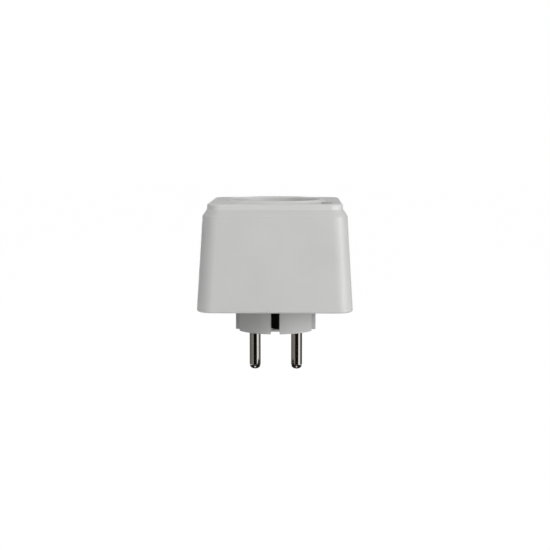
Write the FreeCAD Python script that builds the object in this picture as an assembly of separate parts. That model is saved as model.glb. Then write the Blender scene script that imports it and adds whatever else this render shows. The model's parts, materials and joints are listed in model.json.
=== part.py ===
import FreeCAD, Part
import math
import os

from FreeCAD import Vector

# Plug-in power meter for round-pin mains outlets.
# Origin: centre of the plug's face. +Z points out of the wall, towards the user.
# X runs through the two plug pins, Y through the two earth contacts. Millimetres.

# ---- Driving dimensions ------------------------------------------------------------
# Plug
PIN_PITCH = 19.0
PIN_RADIUS = 2.4
PIN_LENGTH = 19.0
PIN_TIP_ROUND = 2.1
PIN_SHANK_RADIUS = 2.0
PIN_SPIGOT_RADIUS = 1.5
PIN_COLLAR_RADIUS = 2.6
PIN_COLLAR_HEIGHT = 1.2     # collar sunk in the plug's face
SPIGOT_SHARE = 0.35         # part of the gap over the board that the pin's end takes
PLUG_RADIUS = 18.5
PLUG_HEIGHT = 11.7
PLUG_FLAT = 16.2            # half width between the two side flats
RIB_REACH = 18.05           # how far the guide ribs stand out from the centre
RIB_THICKNESS = 1.5
GUIDE_CHANNEL = 5.6         # width of the channel between two guide ribs
PLUG_WALL = 2.6
PLUG_FACE_THICKNESS = 3.0
PILLAR_WALL = 2.2           # plastic round a pin's shank
PILLAR_HEIGHT = 9.0
EARTH_CHANNEL_WIDTH = 3.9
EARTH_CHANNEL_DEPTH = 4.3
EARTH_NOTCH_DEPTH = 7.1     # the front channel's mouth runs further in at the face
EARTH_NOTCH_HEIGHT = 2.2
EARTH_PIN_OFFSET = 10.0
EARTH_PIN_HOLE_RADIUS = 2.6
SLEEVE_BORE_RADIUS = 2.8
SLEEVE_WALL = 0.5

# Housing
BASE_WIDTH = 67.6
BODY_HEIGHT = 41.2          # wall-side plane to the shoulder's edge
BODY_LEAN = 2.525           # how far each wall leans in up to the shoulder
LEDGE_DEPTH = 1.925         # shoulder's edge to the plate's foot, seen from above
LEDGE_RISE = 2.8           # sloped shoulder, up to the foot of the raised plate
CORNER_RADIUS = 7.0
WALL = 2.2
BASE_EDGE_ROUND = 0.9
SHOULDER_EDGE_ROUND = 0.5

# Raised plate and socket
PLATE_OVERHANG = 1.35       # plate's foot beyond the housing's opening
PLATE_LEAN = 0.5
PLATE_RISE = 2.5
PLATE_EDGE_ROUND = 0.6
PLATE_THICKNESS = 2.0
PLATE_CORNER_RADIUS = 6.0
SKIRT_HEIGHT = 4.2
SKIRT_WALL = 1.2
SNAP_WIDTH = 10.0
SNAP_REACH = 0.6
SNAP_HEIGHT = 0.9
RECESS_RADIUS = 19.75
RECESS_DEPTH = 17.5
WELL_WALL = 1.95
RING_RISE = 0.8
RING_LIP_RADIUS = 1.0       # round between the ring's crest and the well
RING_SLOPE_RADIUS = 4.0     # round between the ring's crest and the plate
FLOOR_THICKNESS = 2.4
SOCKET_HOLE_RADIUS = 2.6
SOCKET_HOLE_CHAMFER = 0.4
NOSE_REACH = 16.9           # guide nose tip from the centre
NOSE_WIDTH = 4.8
NOSE_TOP_DROP = 1.6

# Button
BUTTON_SKIRT_GAP = 0.35     # button's flange to the skirt, along Y
BUTTON_SIDE_SHARE = 0.259   # part of the free room between well and skirt, on the skirt's side
BUTTON_WIDTH = 4.4
BUTTON_LENGTH = 9.5
BUTTON_STAND = 0.2
BUTTON_CORNER = 0.8
BUTTON_TRAVEL = 0.5
BUTTON_FLANGE = 0.5
BUTTON_FLANGE_THICKNESS = 0.9
SWITCH_OFFSET = -1.6        # switch centre from the button's centre, along Y
SWITCH_WIDTH = 4.5
SWITCH_HEIGHT = 2.2
PLUNGER_RADIUS = 1.2
PLUNGER_STAND = 0.6
BUTTON_BOARD_DROP = 5.45    # plate underside to the button board's top
BUTTON_BOARD_THICKNESS = 1.2
BUTTON_BOARD_MARGIN = 1.2
BUTTON_POST_RADIUS = 1.7
LED_SIZE = (2.0, 3.0, 1.2)
LED_OFFSET = 3.4            # from the button's centre, along Y

# Rear cover, posts and screws
COVER_THICKNESS = 2.5
SCREW_INSET = 5.6           # screw axis from the housing wall's inside at its foot
POST_RADIUS = 3.2
POST_HEIGHT = 19.75
POST_RIB = 1.5
SCREW_RADIUS = 1.25
SCREW_LENGTH = 12.0
SCREW_HEAD_RADIUS = 2.7
SCREW_HEAD_HEIGHT = 1.2
SMALL_SCREW_RADIUS = 0.9
SMALL_HEAD_RADIUS = 1.8
SMALL_HEAD_HEIGHT = 1.0
STANDOFF_SHARE = 0.585      # part of the free room round the board that is under it
STANDOFF_RADIUS = 2.6
STANDOFF_EDGE = 0.5         # standoff to the board's edge

# Main board and what stands on it
BOARD_THICKNESS = 1.6
BOARD_GAP = 1.58            # board's edge to the housing's wall
STRAP_GAP = 1.0             # relay and filter capacitor to the socket's earth strap
RELAY_DEPTH = 15.0
RELAY_ROUND = 0.6
FILTER_DEPTH = 8.0
FILTER_ROUND = 0.5
VARISTOR_RADIUS = 5.0
VARISTOR_THICKNESS = 3.6
VARISTOR_ROUND = 1.2
VARISTOR_LIFT = 1.2
VARISTOR_LEG_PITCH = 5.0
LEG_RADIUS = 0.4
CAN_RADIUS = 4.0
CAN_HEIGHT = 11.5
CAN_ROUND = 0.5
CAN_SPACING = 1.0
COIL_RADIUS = 3.2
COIL_FLANGE_RADIUS = 3.8
COIL_FLANGE = 1.4
COIL_HEIGHT = 9.4
RESISTOR_RADIUS = 1.9
RESISTOR_LENGTH = 6.0
RESISTOR_ROUND = 0.7
RESISTOR_LEAD = 1.2
LEAD_RADIUS = 0.35
SHUNT_SPAN = 10.0
SHUNT_HEIGHT = 4.0
SHUNT_WIDTH = 3.0
SHUNT_THICKNESS = 1.0
SHUNT_BEND = 1.2
CHIP_WIDTH = 4.0
CHIP_HEIGHT = 1.6
CHIP_LIFT = 0.15
CHIP_LEG = 1.0
CHIP_LEG_THICKNESS = 0.4
METER_CHIP_LENGTH = 10.0
SUPPLY_CHIP_LENGTH = 5.0
SUPPLY_CHIP_OFFSET = 6.5
RADIO_WIDTH = 22.0
RADIO_THICKNESS = 0.8
RADIO_HEIGHT = 26.0
SHIELD_WIDTH = 14.0
SHIELD_DEPTH = 2.4
SHIELD_HEIGHT = 14.0
SHIELD_LIFT = 2.5
SHIELD_ROUND = 0.4
RIBBON_THICKNESS = 0.6
RIBBON_WIDTH = 5.0

# Contacts, carrier and shutter
SHUTTER_TURN = 40.0
SHUTTER_RADIUS = 13.9
SHUTTER_THICKNESS = 1.6
SHUTTER_HOLE_RADIUS = 3.0
PIVOT_RADIUS = 1.5
STOP_RADIUS = 1.2
STOP_OFFSET = 11.4
SPRING_THICKNESS = 0.2
SPRING_HEIGHT = 1.8
SPRING_HALF_TURNS = 4
SPRING_POCKET_RADIUS = 3.4
SPRING_POCKET_DEPTH = 2.9
CARRIER_LENGTH = 31.0
CARRIER_WIDTH = 20.0
EAR_OFFSET = 12.6
EAR_RADIUS = 3.0
EAR_THICKNESS = 1.4
CONTACT_WIDTH = 6.0
CONTACT_THICKNESS = 0.6
CONTACT_BEND = 0.8
CONTACT_FLARE = 0.9
TAIL_WIDTH = 3.0
STRAP_THICKNESS = 0.8
STRAP_BEND = 1.0
SOCKET_STRAP_WIDTH = 6.0
CLIP_TOP_DROP = 2.6         # earth clip's upper end below the plate
CLIP_BULGE = 1.1            # how far the clip's bend stands into the well

# Clearances
SLIP = 0.15                 # between a cover or skirt and the wall round it
RUN = 0.05                  # radial, round a pivot, a screw or a moulded-in shank
FREE = 0.3                  # between pieces that move past each other
LOOSE = 0.4                 # round a strip or spring in its pocket

# ---- Widths that follow --------------------------------------------------------------
SHOULDER_WIDTH = BASE_WIDTH - 2 * BODY_LEAN
PLATE_FOOT_WIDTH = SHOULDER_WIDTH - 2 * LEDGE_DEPTH
PLATE_TOP_WIDTH = PLATE_FOOT_WIDTH - 2 * PLATE_LEAN
TOP_OPENING_WIDTH = PLATE_FOOT_WIDTH - 2 * PLATE_OVERHANG
SCREW_AT = BASE_WIDTH / 2 - WALL - SCREW_INSET
POST_SIDE = SCREW_AT - POST_RADIUS - LOOSE
WIDE_LENGTH = POST_SIDE - SOCKET_STRAP_WIDTH / 2 - STRAP_GAP
SKIRT_INSIDE = TOP_OPENING_WIDTH / 2 - SLIP - SKIRT_WALL
BUTTON_REACH_X = BUTTON_WIDTH / 2 + BUTTON_FLANGE
BUTTON_REACH_Y = BUTTON_LENGTH / 2 + BUTTON_FLANGE
BUTTON_Y = BUTTON_REACH_Y + BUTTON_SKIRT_GAP - SKIRT_INSIDE
WELL_SIDE = math.sqrt((RECESS_RADIUS + WELL_WALL) ** 2 - (BUTTON_Y + BUTTON_REACH_Y) ** 2)
BUTTON_ROOM = SKIRT_INSIDE - WELL_SIDE - 2 * BUTTON_REACH_X
BUTTON_X = SKIRT_INSIDE - BUTTON_REACH_X - BUTTON_SIDE_SHARE * BUTTON_ROOM

# ---- Heights that follow -------------------------------------------------------------
Z_COVER = PLUG_HEIGHT
Z_COVER_TOP = Z_COVER + COVER_THICKNESS
Z_SHOULDER = PLUG_HEIGHT + BODY_HEIGHT
Z_LEDGE = Z_SHOULDER + LEDGE_RISE
Z_PLATE = Z_LEDGE + PLATE_RISE
Z_PLATE_UNDER = Z_PLATE - PLATE_THICKNESS
Z_CREST = Z_PLATE + RING_RISE
Z_FLOOR = Z_PLATE - RECESS_DEPTH
Z_FLOOR_UNDER = Z_FLOOR - FLOOR_THICKNESS
Z_SHUTTER_TOP = Z_FLOOR_UNDER - FREE
Z_SHUTTER = Z_SHUTTER_TOP - SHUTTER_THICKNESS
Z_CARRIER_TOP = Z_SHUTTER - FREE
Z_CONTACT_BASE = Z_FLOOR - PIN_LENGTH - FREE - CONTACT_THICKNESS / 2
Z_CARRIER = Z_CONTACT_BASE + CONTACT_THICKNESS / 2 + FREE
Z_SOCKET_BRIDGE = Z_CARRIER - LOOSE - STRAP_THICKNESS / 2
Z_PLUG_BRIDGE = Z_COVER + COVER_THICKNESS / 2 - STRAP_THICKNESS / 4
BOARD_ROOM = Z_SOCKET_BRIDGE - STRAP_THICKNESS / 2 - Z_COVER_TOP - BOARD_THICKNESS
Z_BOARD = Z_COVER_TOP + STANDOFF_SHARE * BOARD_ROOM
Z_BOARD_TOP = Z_BOARD + BOARD_THICKNESS
Z_BUTTON_BOARD_TOP = Z_PLATE_UNDER - BUTTON_BOARD_DROP
COMPONENT_ROOM = Z_CARRIER_TOP - EAR_THICKNESS - SMALL_HEAD_HEIGHT - FREE - Z_BOARD_TOP

PIN_X = PIN_PITCH / 2
UP = Vector(0, 0, 1)
SIDES = (-1, 1)
CORNERS = [(1, 1), (-1, 1), (-1, -1), (1, -1)]


# ---- Helpers ---------------------------------------------------------------------------
def cylinder(radius, z_low, z_high, x=0.0, y=0.0):
    return Part.makeCylinder(radius, z_high - z_low, Vector(x, y, z_low), UP)


def box(x, y, z):
    """A box from three (low, high) pairs."""
    size = [high - low for low, high in (x, y, z)]
    return Part.makeBox(size[0], size[1], size[2], Vector(x[0], y[0], z[0]))


def centred_box(size, x, y, z_low):
    """A box of the given size, centred on x and y and standing on z_low."""
    half_x = size[0] / 2
    half_y = size[1] / 2
    return box((x - half_x, x + half_x), (y - half_y, y + half_y), (z_low, z_low + size[2]))


def rounded_outline(size_x, size_y, corner, z, x=0.0, y=0.0):
    """A closed wire: a rectangle with rounded corners at height z."""
    arcs = []
    for quarter, (sx, sy) in enumerate(CORNERS):
        centre = Vector(x + sx * (size_x / 2 - corner), y + sy * (size_y / 2 - corner), z)
        circle = Part.Circle(centre, UP, corner)
        start = quarter * math.pi / 2
        arcs.append(Part.Arc(circle, start, start + math.pi / 2).toShape())
    edges = []
    for quarter, arc in enumerate(arcs):
        following = arcs[(quarter + 1) % 4]
        edges.append(arc)
        edges.append(Part.makeLine(arc.lastVertex().Point, following.firstVertex().Point))
    return Part.Wire(edges)


def rounded_block(size_x, size_y, corner, z_low, z_high, x=0.0, y=0.0):
    outline = rounded_outline(size_x, size_y, corner, z_low, x, y)
    return Part.Face(outline).extrude(Vector(0, 0, z_high - z_low))


def loft(sections):
    """A straight-sided solid through (width, corner, z) square sections."""
    wires = [rounded_outline(width, width, corner, z) for width, corner, z in sections]
    return Part.makeLoft(wires, True, True)


def outline_edges(shape, z):
    """The edges of a shape that lie wholly at height z."""
    found = []
    for edge in shape.Edges:
        bounds = edge.BoundBox
        if abs(bounds.ZMin - z) < 1e-4 and abs(bounds.ZMax - z) < 1e-4:
            found.append(edge)
    return found


def fuse(shapes):
    whole = shapes[0].fuse(shapes[1:])
    return whole.removeSplitter()


def side_line(points, bend, offset):
    """One side of a bent strip in its own plane: straight runs joined by tangent arcs.

    The centre line goes through the points with the bend radius; offset moves to one side.
    """
    edges = []
    here = None
    last = len(points) - 1
    for index, point in enumerate(points):
        before = points[index] - points[index - 1] if index > 0 else None
        after = points[index + 1] - point if index < last else None
        if before is None or after is None:
            run = (after or before).normalize()
            end = point + Vector(-run.y, run.x, 0) * offset
            if here is not None:
                edges.append(Part.makeLine(here, end))
            here = end
            continue
        before.normalize()
        after.normalize()
        turn = math.atan2(before.x * after.y - before.y * after.x, before.dot(after))
        hand = 1 if turn > 0 else -1
        reach = bend * math.tan(abs(turn) / 2)
        left = Vector(-before.y, before.x, 0)
        centre = point - before * reach + left * (hand * bend)
        radius = bend - hand * offset
        start = centre - left * (hand * radius)
        left_after = Vector(-after.y, after.x, 0)
        end = centre - left_after * (hand * radius)
        middle = centre - (left + left_after).normalize() * (hand * radius)
        edges.append(Part.makeLine(here, start))
        edges.append(Part.Arc(start, middle, end).toShape())
        here = end
    return edges


def bent_strip(path, bend, thickness, width):
    """A metal strip bent in the YZ plane. The path holds (y, z) points; width runs along X."""
    points = [Vector(y, z, 0) for y, z in path]
    left = side_line(points, bend, thickness / 2)
    right = side_line(points, bend, -thickness / 2)
    caps = [
        Part.makeLine(left[0].Vertexes[0].Point, right[0].Vertexes[0].Point),
        Part.makeLine(left[-1].Vertexes[-1].Point, right[-1].Vertexes[-1].Point),
    ]
    outline = Part.Wire(Part.__sortEdges__(left + right + caps))
    strip = Part.Face(outline).extrude(Vector(0, 0, width))
    strip.translate(Vector(0, 0, -width / 2))
    strip.rotate(Vector(0, 0, 0), Vector(1, 1, 1), 120)
    return strip


def screw(x, y, z_head, direction, head_radius, head_height, radius, length):
    """A pan-head screw with a cross recess. z_head is the seat under the head."""
    head = Part.makeCylinder(head_radius, head_height, Vector(0, 0, -head_height), UP)
    head = head.makeFillet(head_height * 0.45, outline_edges(head, -head_height))
    shank = Part.makeCylinder(radius, length - radius, Vector(0, 0, 0), UP)
    tip = Part.makeCone(radius, radius * 0.3, radius, Vector(0, 0, length - radius), UP)
    body = fuse([head, shank, tip])
    slot_length = head_radius * 1.1
    slot_width = head_radius * 0.22
    slot_depth = head_height * 0.6
    for size in ((slot_length, slot_width), (slot_width, slot_length)):
        body = body.cut(centred_box((size[0], size[1], slot_depth), 0, 0, -head_height))
    if direction < 0:
        body.rotate(Vector(0, 0, 0), Vector(1, 0, 0), 180)
    body.translate(Vector(x, y, z_head))
    return body


def ring_sector(radius, half_width, z_low, z_high, start, sweep):
    """Part of a flat ring round the Z axis, from the start angle through the sweep, in degrees."""
    height = z_high - z_low
    base = Vector(0, 0, z_low)
    outer = Part.makeCylinder(radius + half_width, height, base, UP, sweep)
    inner = Part.makeCylinder(radius - half_width, height, base, UP, 360)
    sector = outer.cut(inner)
    sector.rotate(Vector(0, 0, 0), UP, start)
    return sector


def body_width(z):
    """Outer width of the tapered housing at height z."""
    share = (z - Z_COVER) / BODY_HEIGHT
    return BASE_WIDTH + share * (SHOULDER_WIDTH - BASE_WIDTH)


BOARD_WIDTH = body_width(Z_BOARD_TOP) - 2 * WALL - 2 * BOARD_GAP
STANDOFF_OFFSET = BOARD_WIDTH / 2 - STANDOFF_RADIUS - STANDOFF_EDGE


# ---- Housing -----------------------------------------------------------------------------
def housing_shell():
    outer = loft([
        (BASE_WIDTH, CORNER_RADIUS, Z_COVER),
        (SHOULDER_WIDTH, CORNER_RADIUS, Z_SHOULDER),
        (PLATE_FOOT_WIDTH, PLATE_CORNER_RADIUS, Z_LEDGE),
    ])
    outer = outer.makeFillet(BASE_EDGE_ROUND, outline_edges(outer, Z_COVER))
    outer = outer.makeFillet(SHOULDER_EDGE_ROUND, outline_edges(outer, Z_SHOULDER))
    z_low = Z_COVER - 1
    z_turn = Z_SHOULDER - WALL * 0.7
    z_top = Z_LEDGE - WALL
    inner_corner = CORNER_RADIUS - WALL
    inner = loft([
        (body_width(z_low) - 2 * WALL, inner_corner, z_low),
        (body_width(z_turn) - 2 * WALL, inner_corner, z_turn),
        (TOP_OPENING_WIDTH + 2 * (SNAP_REACH + SLIP), inner_corner, z_top),
    ])
    opening = rounded_block(
        TOP_OPENING_WIDTH, TOP_OPENING_WIDTH, inner_corner, z_top - 1, Z_LEDGE + 1
    )
    shell = outer.cut(inner).cut(opening)
    posts = []
    z_post_top = Z_COVER_TOP + POST_HEIGHT
    for sx, sy in CORNERS:
        x = sx * SCREW_AT
        y = sy * SCREW_AT
        reach = BASE_WIDTH / 2
        post = cylinder(POST_RADIUS, Z_COVER_TOP, z_post_top, x, y)
        rib_x = box(sorted((x, sx * reach)), (y - POST_RIB / 2, y + POST_RIB / 2),
                    (Z_COVER_TOP, z_post_top))
        rib_y = box((x - POST_RIB / 2, x + POST_RIB / 2), sorted((y, sy * reach)),
                    (Z_COVER_TOP, z_post_top))
        posts.extend([post, rib_x.common(outer), rib_y.common(outer)])
    shell = fuse([shell] + posts)
    for sx, sy in CORNERS:
        pilot = cylinder(SCREW_RADIUS + RUN, Z_COVER_TOP - 1, Z_COVER_TOP + SCREW_LENGTH,
                         sx * SCREW_AT, sy * SCREW_AT)
        shell = shell.cut(pilot)
    return shell


def plug_section(z_low, z_high):
    """The plug boss: a round body with side flats and two guide ribs on each flat."""
    body = cylinder(PLUG_RADIUS, z_low, z_high)
    flats = box((-PLUG_FLAT, PLUG_FLAT), (-PLUG_RADIUS, PLUG_RADIUS), (z_low, z_high))
    body = body.common(flats)
    ribs = []
    for side in SIDES:
        for hand in SIDES:
            near = hand * GUIDE_CHANNEL / 2
            far = hand * (GUIDE_CHANNEL / 2 + RIB_THICKNESS)
            root = side * (PLUG_FLAT - 1)
            tip = side * RIB_REACH
            ribs.append(box(sorted((root, tip)), sorted((near, far)), (z_low, z_high)))
    return fuse([body] + ribs)


def cover_screw_seat():
    return Z_COVER + SCREW_HEAD_HEIGHT + FREE / 2


def rear_cover():
    width = body_width(Z_COVER_TOP) - 2 * WALL - 2 * SLIP
    corner = CORNER_RADIUS - WALL
    plate = rounded_block(width, width, corner, Z_COVER, Z_COVER_TOP)
    cover = fuse([plate, plug_section(0, Z_COVER + 0.5)])

    # Hollow of the plug, with a pillar of plastic round each pin
    inner_reach = PLUG_RADIUS - EARTH_CHANNEL_DEPTH - 2.2
    hollow = cylinder(PLUG_RADIUS - PLUG_WALL, PLUG_FACE_THICKNESS, Z_COVER_TOP + 1)
    hollow = hollow.common(box(
        (PLUG_WALL - PLUG_FLAT, PLUG_FLAT - PLUG_WALL),
        (-inner_reach, inner_reach),
        (PLUG_FACE_THICKNESS, Z_COVER_TOP + 1),
    ))
    for side in SIDES:
        pillar_radius = PIN_SHANK_RADIUS + PILLAR_WALL
        hollow = hollow.cut(cylinder(pillar_radius, 0, PILLAR_HEIGHT, side * PIN_X))
    cover = cover.cut(hollow)

    # Side channels for the earth strap, and the slot that takes its bridge inside
    half = EARTH_CHANNEL_WIDTH / 2
    floor = PLUG_RADIUS - EARTH_CHANNEL_DEPTH
    strap_front = earth_strap_reach() + STRAP_THICKNESS / 2 + LOOSE
    for side in SIDES:
        y_channel = sorted((side * floor, side * (PLUG_RADIUS + 1)))
        cover = cover.cut(box((-half, half), y_channel, (-1, Z_COVER)))
        y_slot = sorted((side * (inner_reach - 1), side * strap_front))
        z_slot = (Z_PLUG_BRIDGE - 2, Z_COVER_TOP + 1)
        cover = cover.cut(box((-half, half), y_slot, z_slot))
    notch_floor = PLUG_RADIUS - EARTH_NOTCH_DEPTH
    cover = cover.cut(box((-half, half), (-PLUG_RADIUS, -notch_floor), (-1, EARTH_NOTCH_HEIGHT)))

    # Pin bores, the earth-pin hole, the corner screws and the board's standoffs
    for side in SIDES:
        cover = cover.cut(cylinder(PIN_SHANK_RADIUS + RUN, -1, PILLAR_HEIGHT + 1, side * PIN_X))
        cover = cover.cut(cylinder(PIN_COLLAR_RADIUS + RUN, -1, PIN_COLLAR_HEIGHT, side * PIN_X))
    cover = cover.cut(cylinder(EARTH_PIN_HOLE_RADIUS, -1, PLUG_FACE_THICKNESS + 0.5,
                               0, EARTH_PIN_OFFSET))
    cover = cover.cut(cylinder(SLEEVE_BORE_RADIUS + SLEEVE_WALL + SLIP, PLUG_FACE_THICKNESS,
                               Z_COVER_TOP + 1, 0, EARTH_PIN_OFFSET))
    for sx, sy in CORNERS:
        x = sx * SCREW_AT
        y = sy * SCREW_AT
        cover = cover.cut(cylinder(SCREW_RADIUS + FREE, Z_COVER - 1, Z_COVER_TOP + 1, x, y))
        cover = cover.cut(cylinder(SCREW_HEAD_RADIUS + FREE, Z_COVER - 1, cover_screw_seat(), x, y))
    standoffs = [cover]
    for x, y in standoff_places():
        standoffs.append(cylinder(STANDOFF_RADIUS, Z_COVER_TOP - 0.5, Z_BOARD, x, y))
    cover = fuse(standoffs)
    for x, y in board_screw_places():
        pilot = cylinder(SMALL_SCREW_RADIUS + RUN, Z_COVER + 1, Z_BOARD + 1, x, y)
        cover = cover.cut(pilot)
    return cover


def standoff_places():
    return board_screw_places() + [(0, STANDOFF_OFFSET), (0, -STANDOFF_OFFSET)]


def board_screw_places():
    return [(STANDOFF_OFFSET, 0), (-STANDOFF_OFFSET, 0)]


def housing_screws():
    screws = []
    for sx, sy in CORNERS:
        screws.append(screw(sx * SCREW_AT, sy * SCREW_AT, cover_screw_seat(), 1,
                            SCREW_HEAD_RADIUS, SCREW_HEAD_HEIGHT, SCREW_RADIUS, SCREW_LENGTH))
    return Part.makeCompound(screws)


# ---- Plug ------------------------------------------------------------------------------------
def plug_pin(side):
    pin = cylinder(PIN_RADIUS, -PIN_LENGTH, 0, side * PIN_X)
    pin = pin.makeFillet(PIN_TIP_ROUND, outline_edges(pin, -PIN_LENGTH))
    collar = cylinder(PIN_COLLAR_RADIUS, 0, PIN_COLLAR_HEIGHT, side * PIN_X)
    shank = cylinder(PIN_SHANK_RADIUS, 0, PILLAR_HEIGHT, side * PIN_X)
    contact_under = Z_CONTACT_BASE - CONTACT_THICKNESS / 2
    z_end = Z_BOARD_TOP + SPIGOT_SHARE * (contact_under - Z_BOARD_TOP)
    spigot = cylinder(PIN_SPIGOT_RADIUS, PILLAR_HEIGHT - 0.5, z_end, side * PIN_X)
    return fuse([pin, collar, shank, spigot])


def earth_strap_reach():
    """Distance of the plug's earth contact from the centre, at the strip's middle."""
    return PLUG_RADIUS - 1.0 - STRAP_THICKNESS / 2


def plug_earth_strap():
    reach = earth_strap_reach()
    foot = 1.2 + STRAP_THICKNESS / 2
    hook = reach - 2 * STRAP_BEND - 0.1
    half = [(hook, foot + 2.4), (hook, foot), (reach, foot), (reach, Z_PLUG_BRIDGE)]
    path = [(-y, z) for y, z in half] + half[::-1]
    width = EARTH_CHANNEL_WIDTH - 2 * SLIP
    return bent_strip(path, STRAP_BEND, STRAP_THICKNESS, width)


def earth_pin_sleeve():
    z_low = PLUG_FACE_THICKNESS
    z_high = Z_PLUG_BRIDGE - STRAP_THICKNESS / 2
    outer = cylinder(SLEEVE_BORE_RADIUS + SLEEVE_WALL, z_low, z_high, 0, EARTH_PIN_OFFSET)
    sleeve = outer.cut(cylinder(SLEEVE_BORE_RADIUS, z_low - 1, z_high + 1, 0, EARTH_PIN_OFFSET))
    slit = centred_box((0.8, 4 * SLEEVE_BORE_RADIUS, z_high - z_low - 3), 0, EARTH_PIN_OFFSET, z_low)
    return sleeve.cut(slit)


def earth_link():
    z_low = Z_PLUG_BRIDGE + STRAP_THICKNESS / 2
    z_high = Z_SOCKET_BRIDGE - STRAP_THICKNESS / 2
    size = (EARTH_CHANNEL_WIDTH - 2 * SLIP, STRAP_THICKNESS, z_high - z_low)
    return centred_box(size, 0, earth_link_place(), z_low)


def earth_link_place():
    return -0.7 * EARTH_PIN_OFFSET


# ---- Face plate with the socket well -----------------------------------------------------------
def ring_profile():
    """Section of the raised ring and its round into the well, in the XZ plane."""
    crest = Vector(RECESS_RADIUS + RING_LIP_RADIUS, 0, Z_CREST)
    lip_centre = crest - Vector(0, 0, RING_LIP_RADIUS)
    lip_start = Vector(RECESS_RADIUS, 0, lip_centre.z)
    diagonal = RING_LIP_RADIUS * math.sqrt(0.5)
    lip_middle = lip_centre + Vector(-diagonal, 0, diagonal)
    slope_centre = crest - Vector(0, 0, RING_SLOPE_RADIUS)
    slope_angle = math.acos((RING_SLOPE_RADIUS - RING_RISE) / RING_SLOPE_RADIUS)

    def on_slope(angle):
        reach = Vector(math.sin(angle), 0, math.cos(angle)) * RING_SLOPE_RADIUS
        return slope_centre + reach

    slope_end = on_slope(slope_angle)
    sunk_out = Vector(slope_end.x, 0, Z_PLATE - 1)
    sunk_in = Vector(RECESS_RADIUS, 0, Z_PLATE - 1)
    edges = [
        Part.Arc(lip_start, lip_middle, crest).toShape(),
        Part.Arc(crest, on_slope(slope_angle / 2), slope_end).toShape(),
        Part.makeLine(slope_end, sunk_out),
        Part.makeLine(sunk_out, sunk_in),
        Part.makeLine(sunk_in, lip_start),
    ]
    return Part.Wire(edges)


def carrier_post_places():
    return [(sx * EAR_OFFSET, sy * EAR_OFFSET) for sx, sy in CORNERS]


def button_post_places():
    """Two posts under the plate, beside and behind the button, that hold its board."""
    reach = BUTTON_POST_RADIUS + FREE
    beside = BUTTON_X - BUTTON_REACH_X - reach
    behind = BUTTON_Y + BUTTON_REACH_Y + reach
    return [(beside, BUTTON_Y - BUTTON_LENGTH / 3), (SKIRT_INSIDE - reach, behind)]


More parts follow.
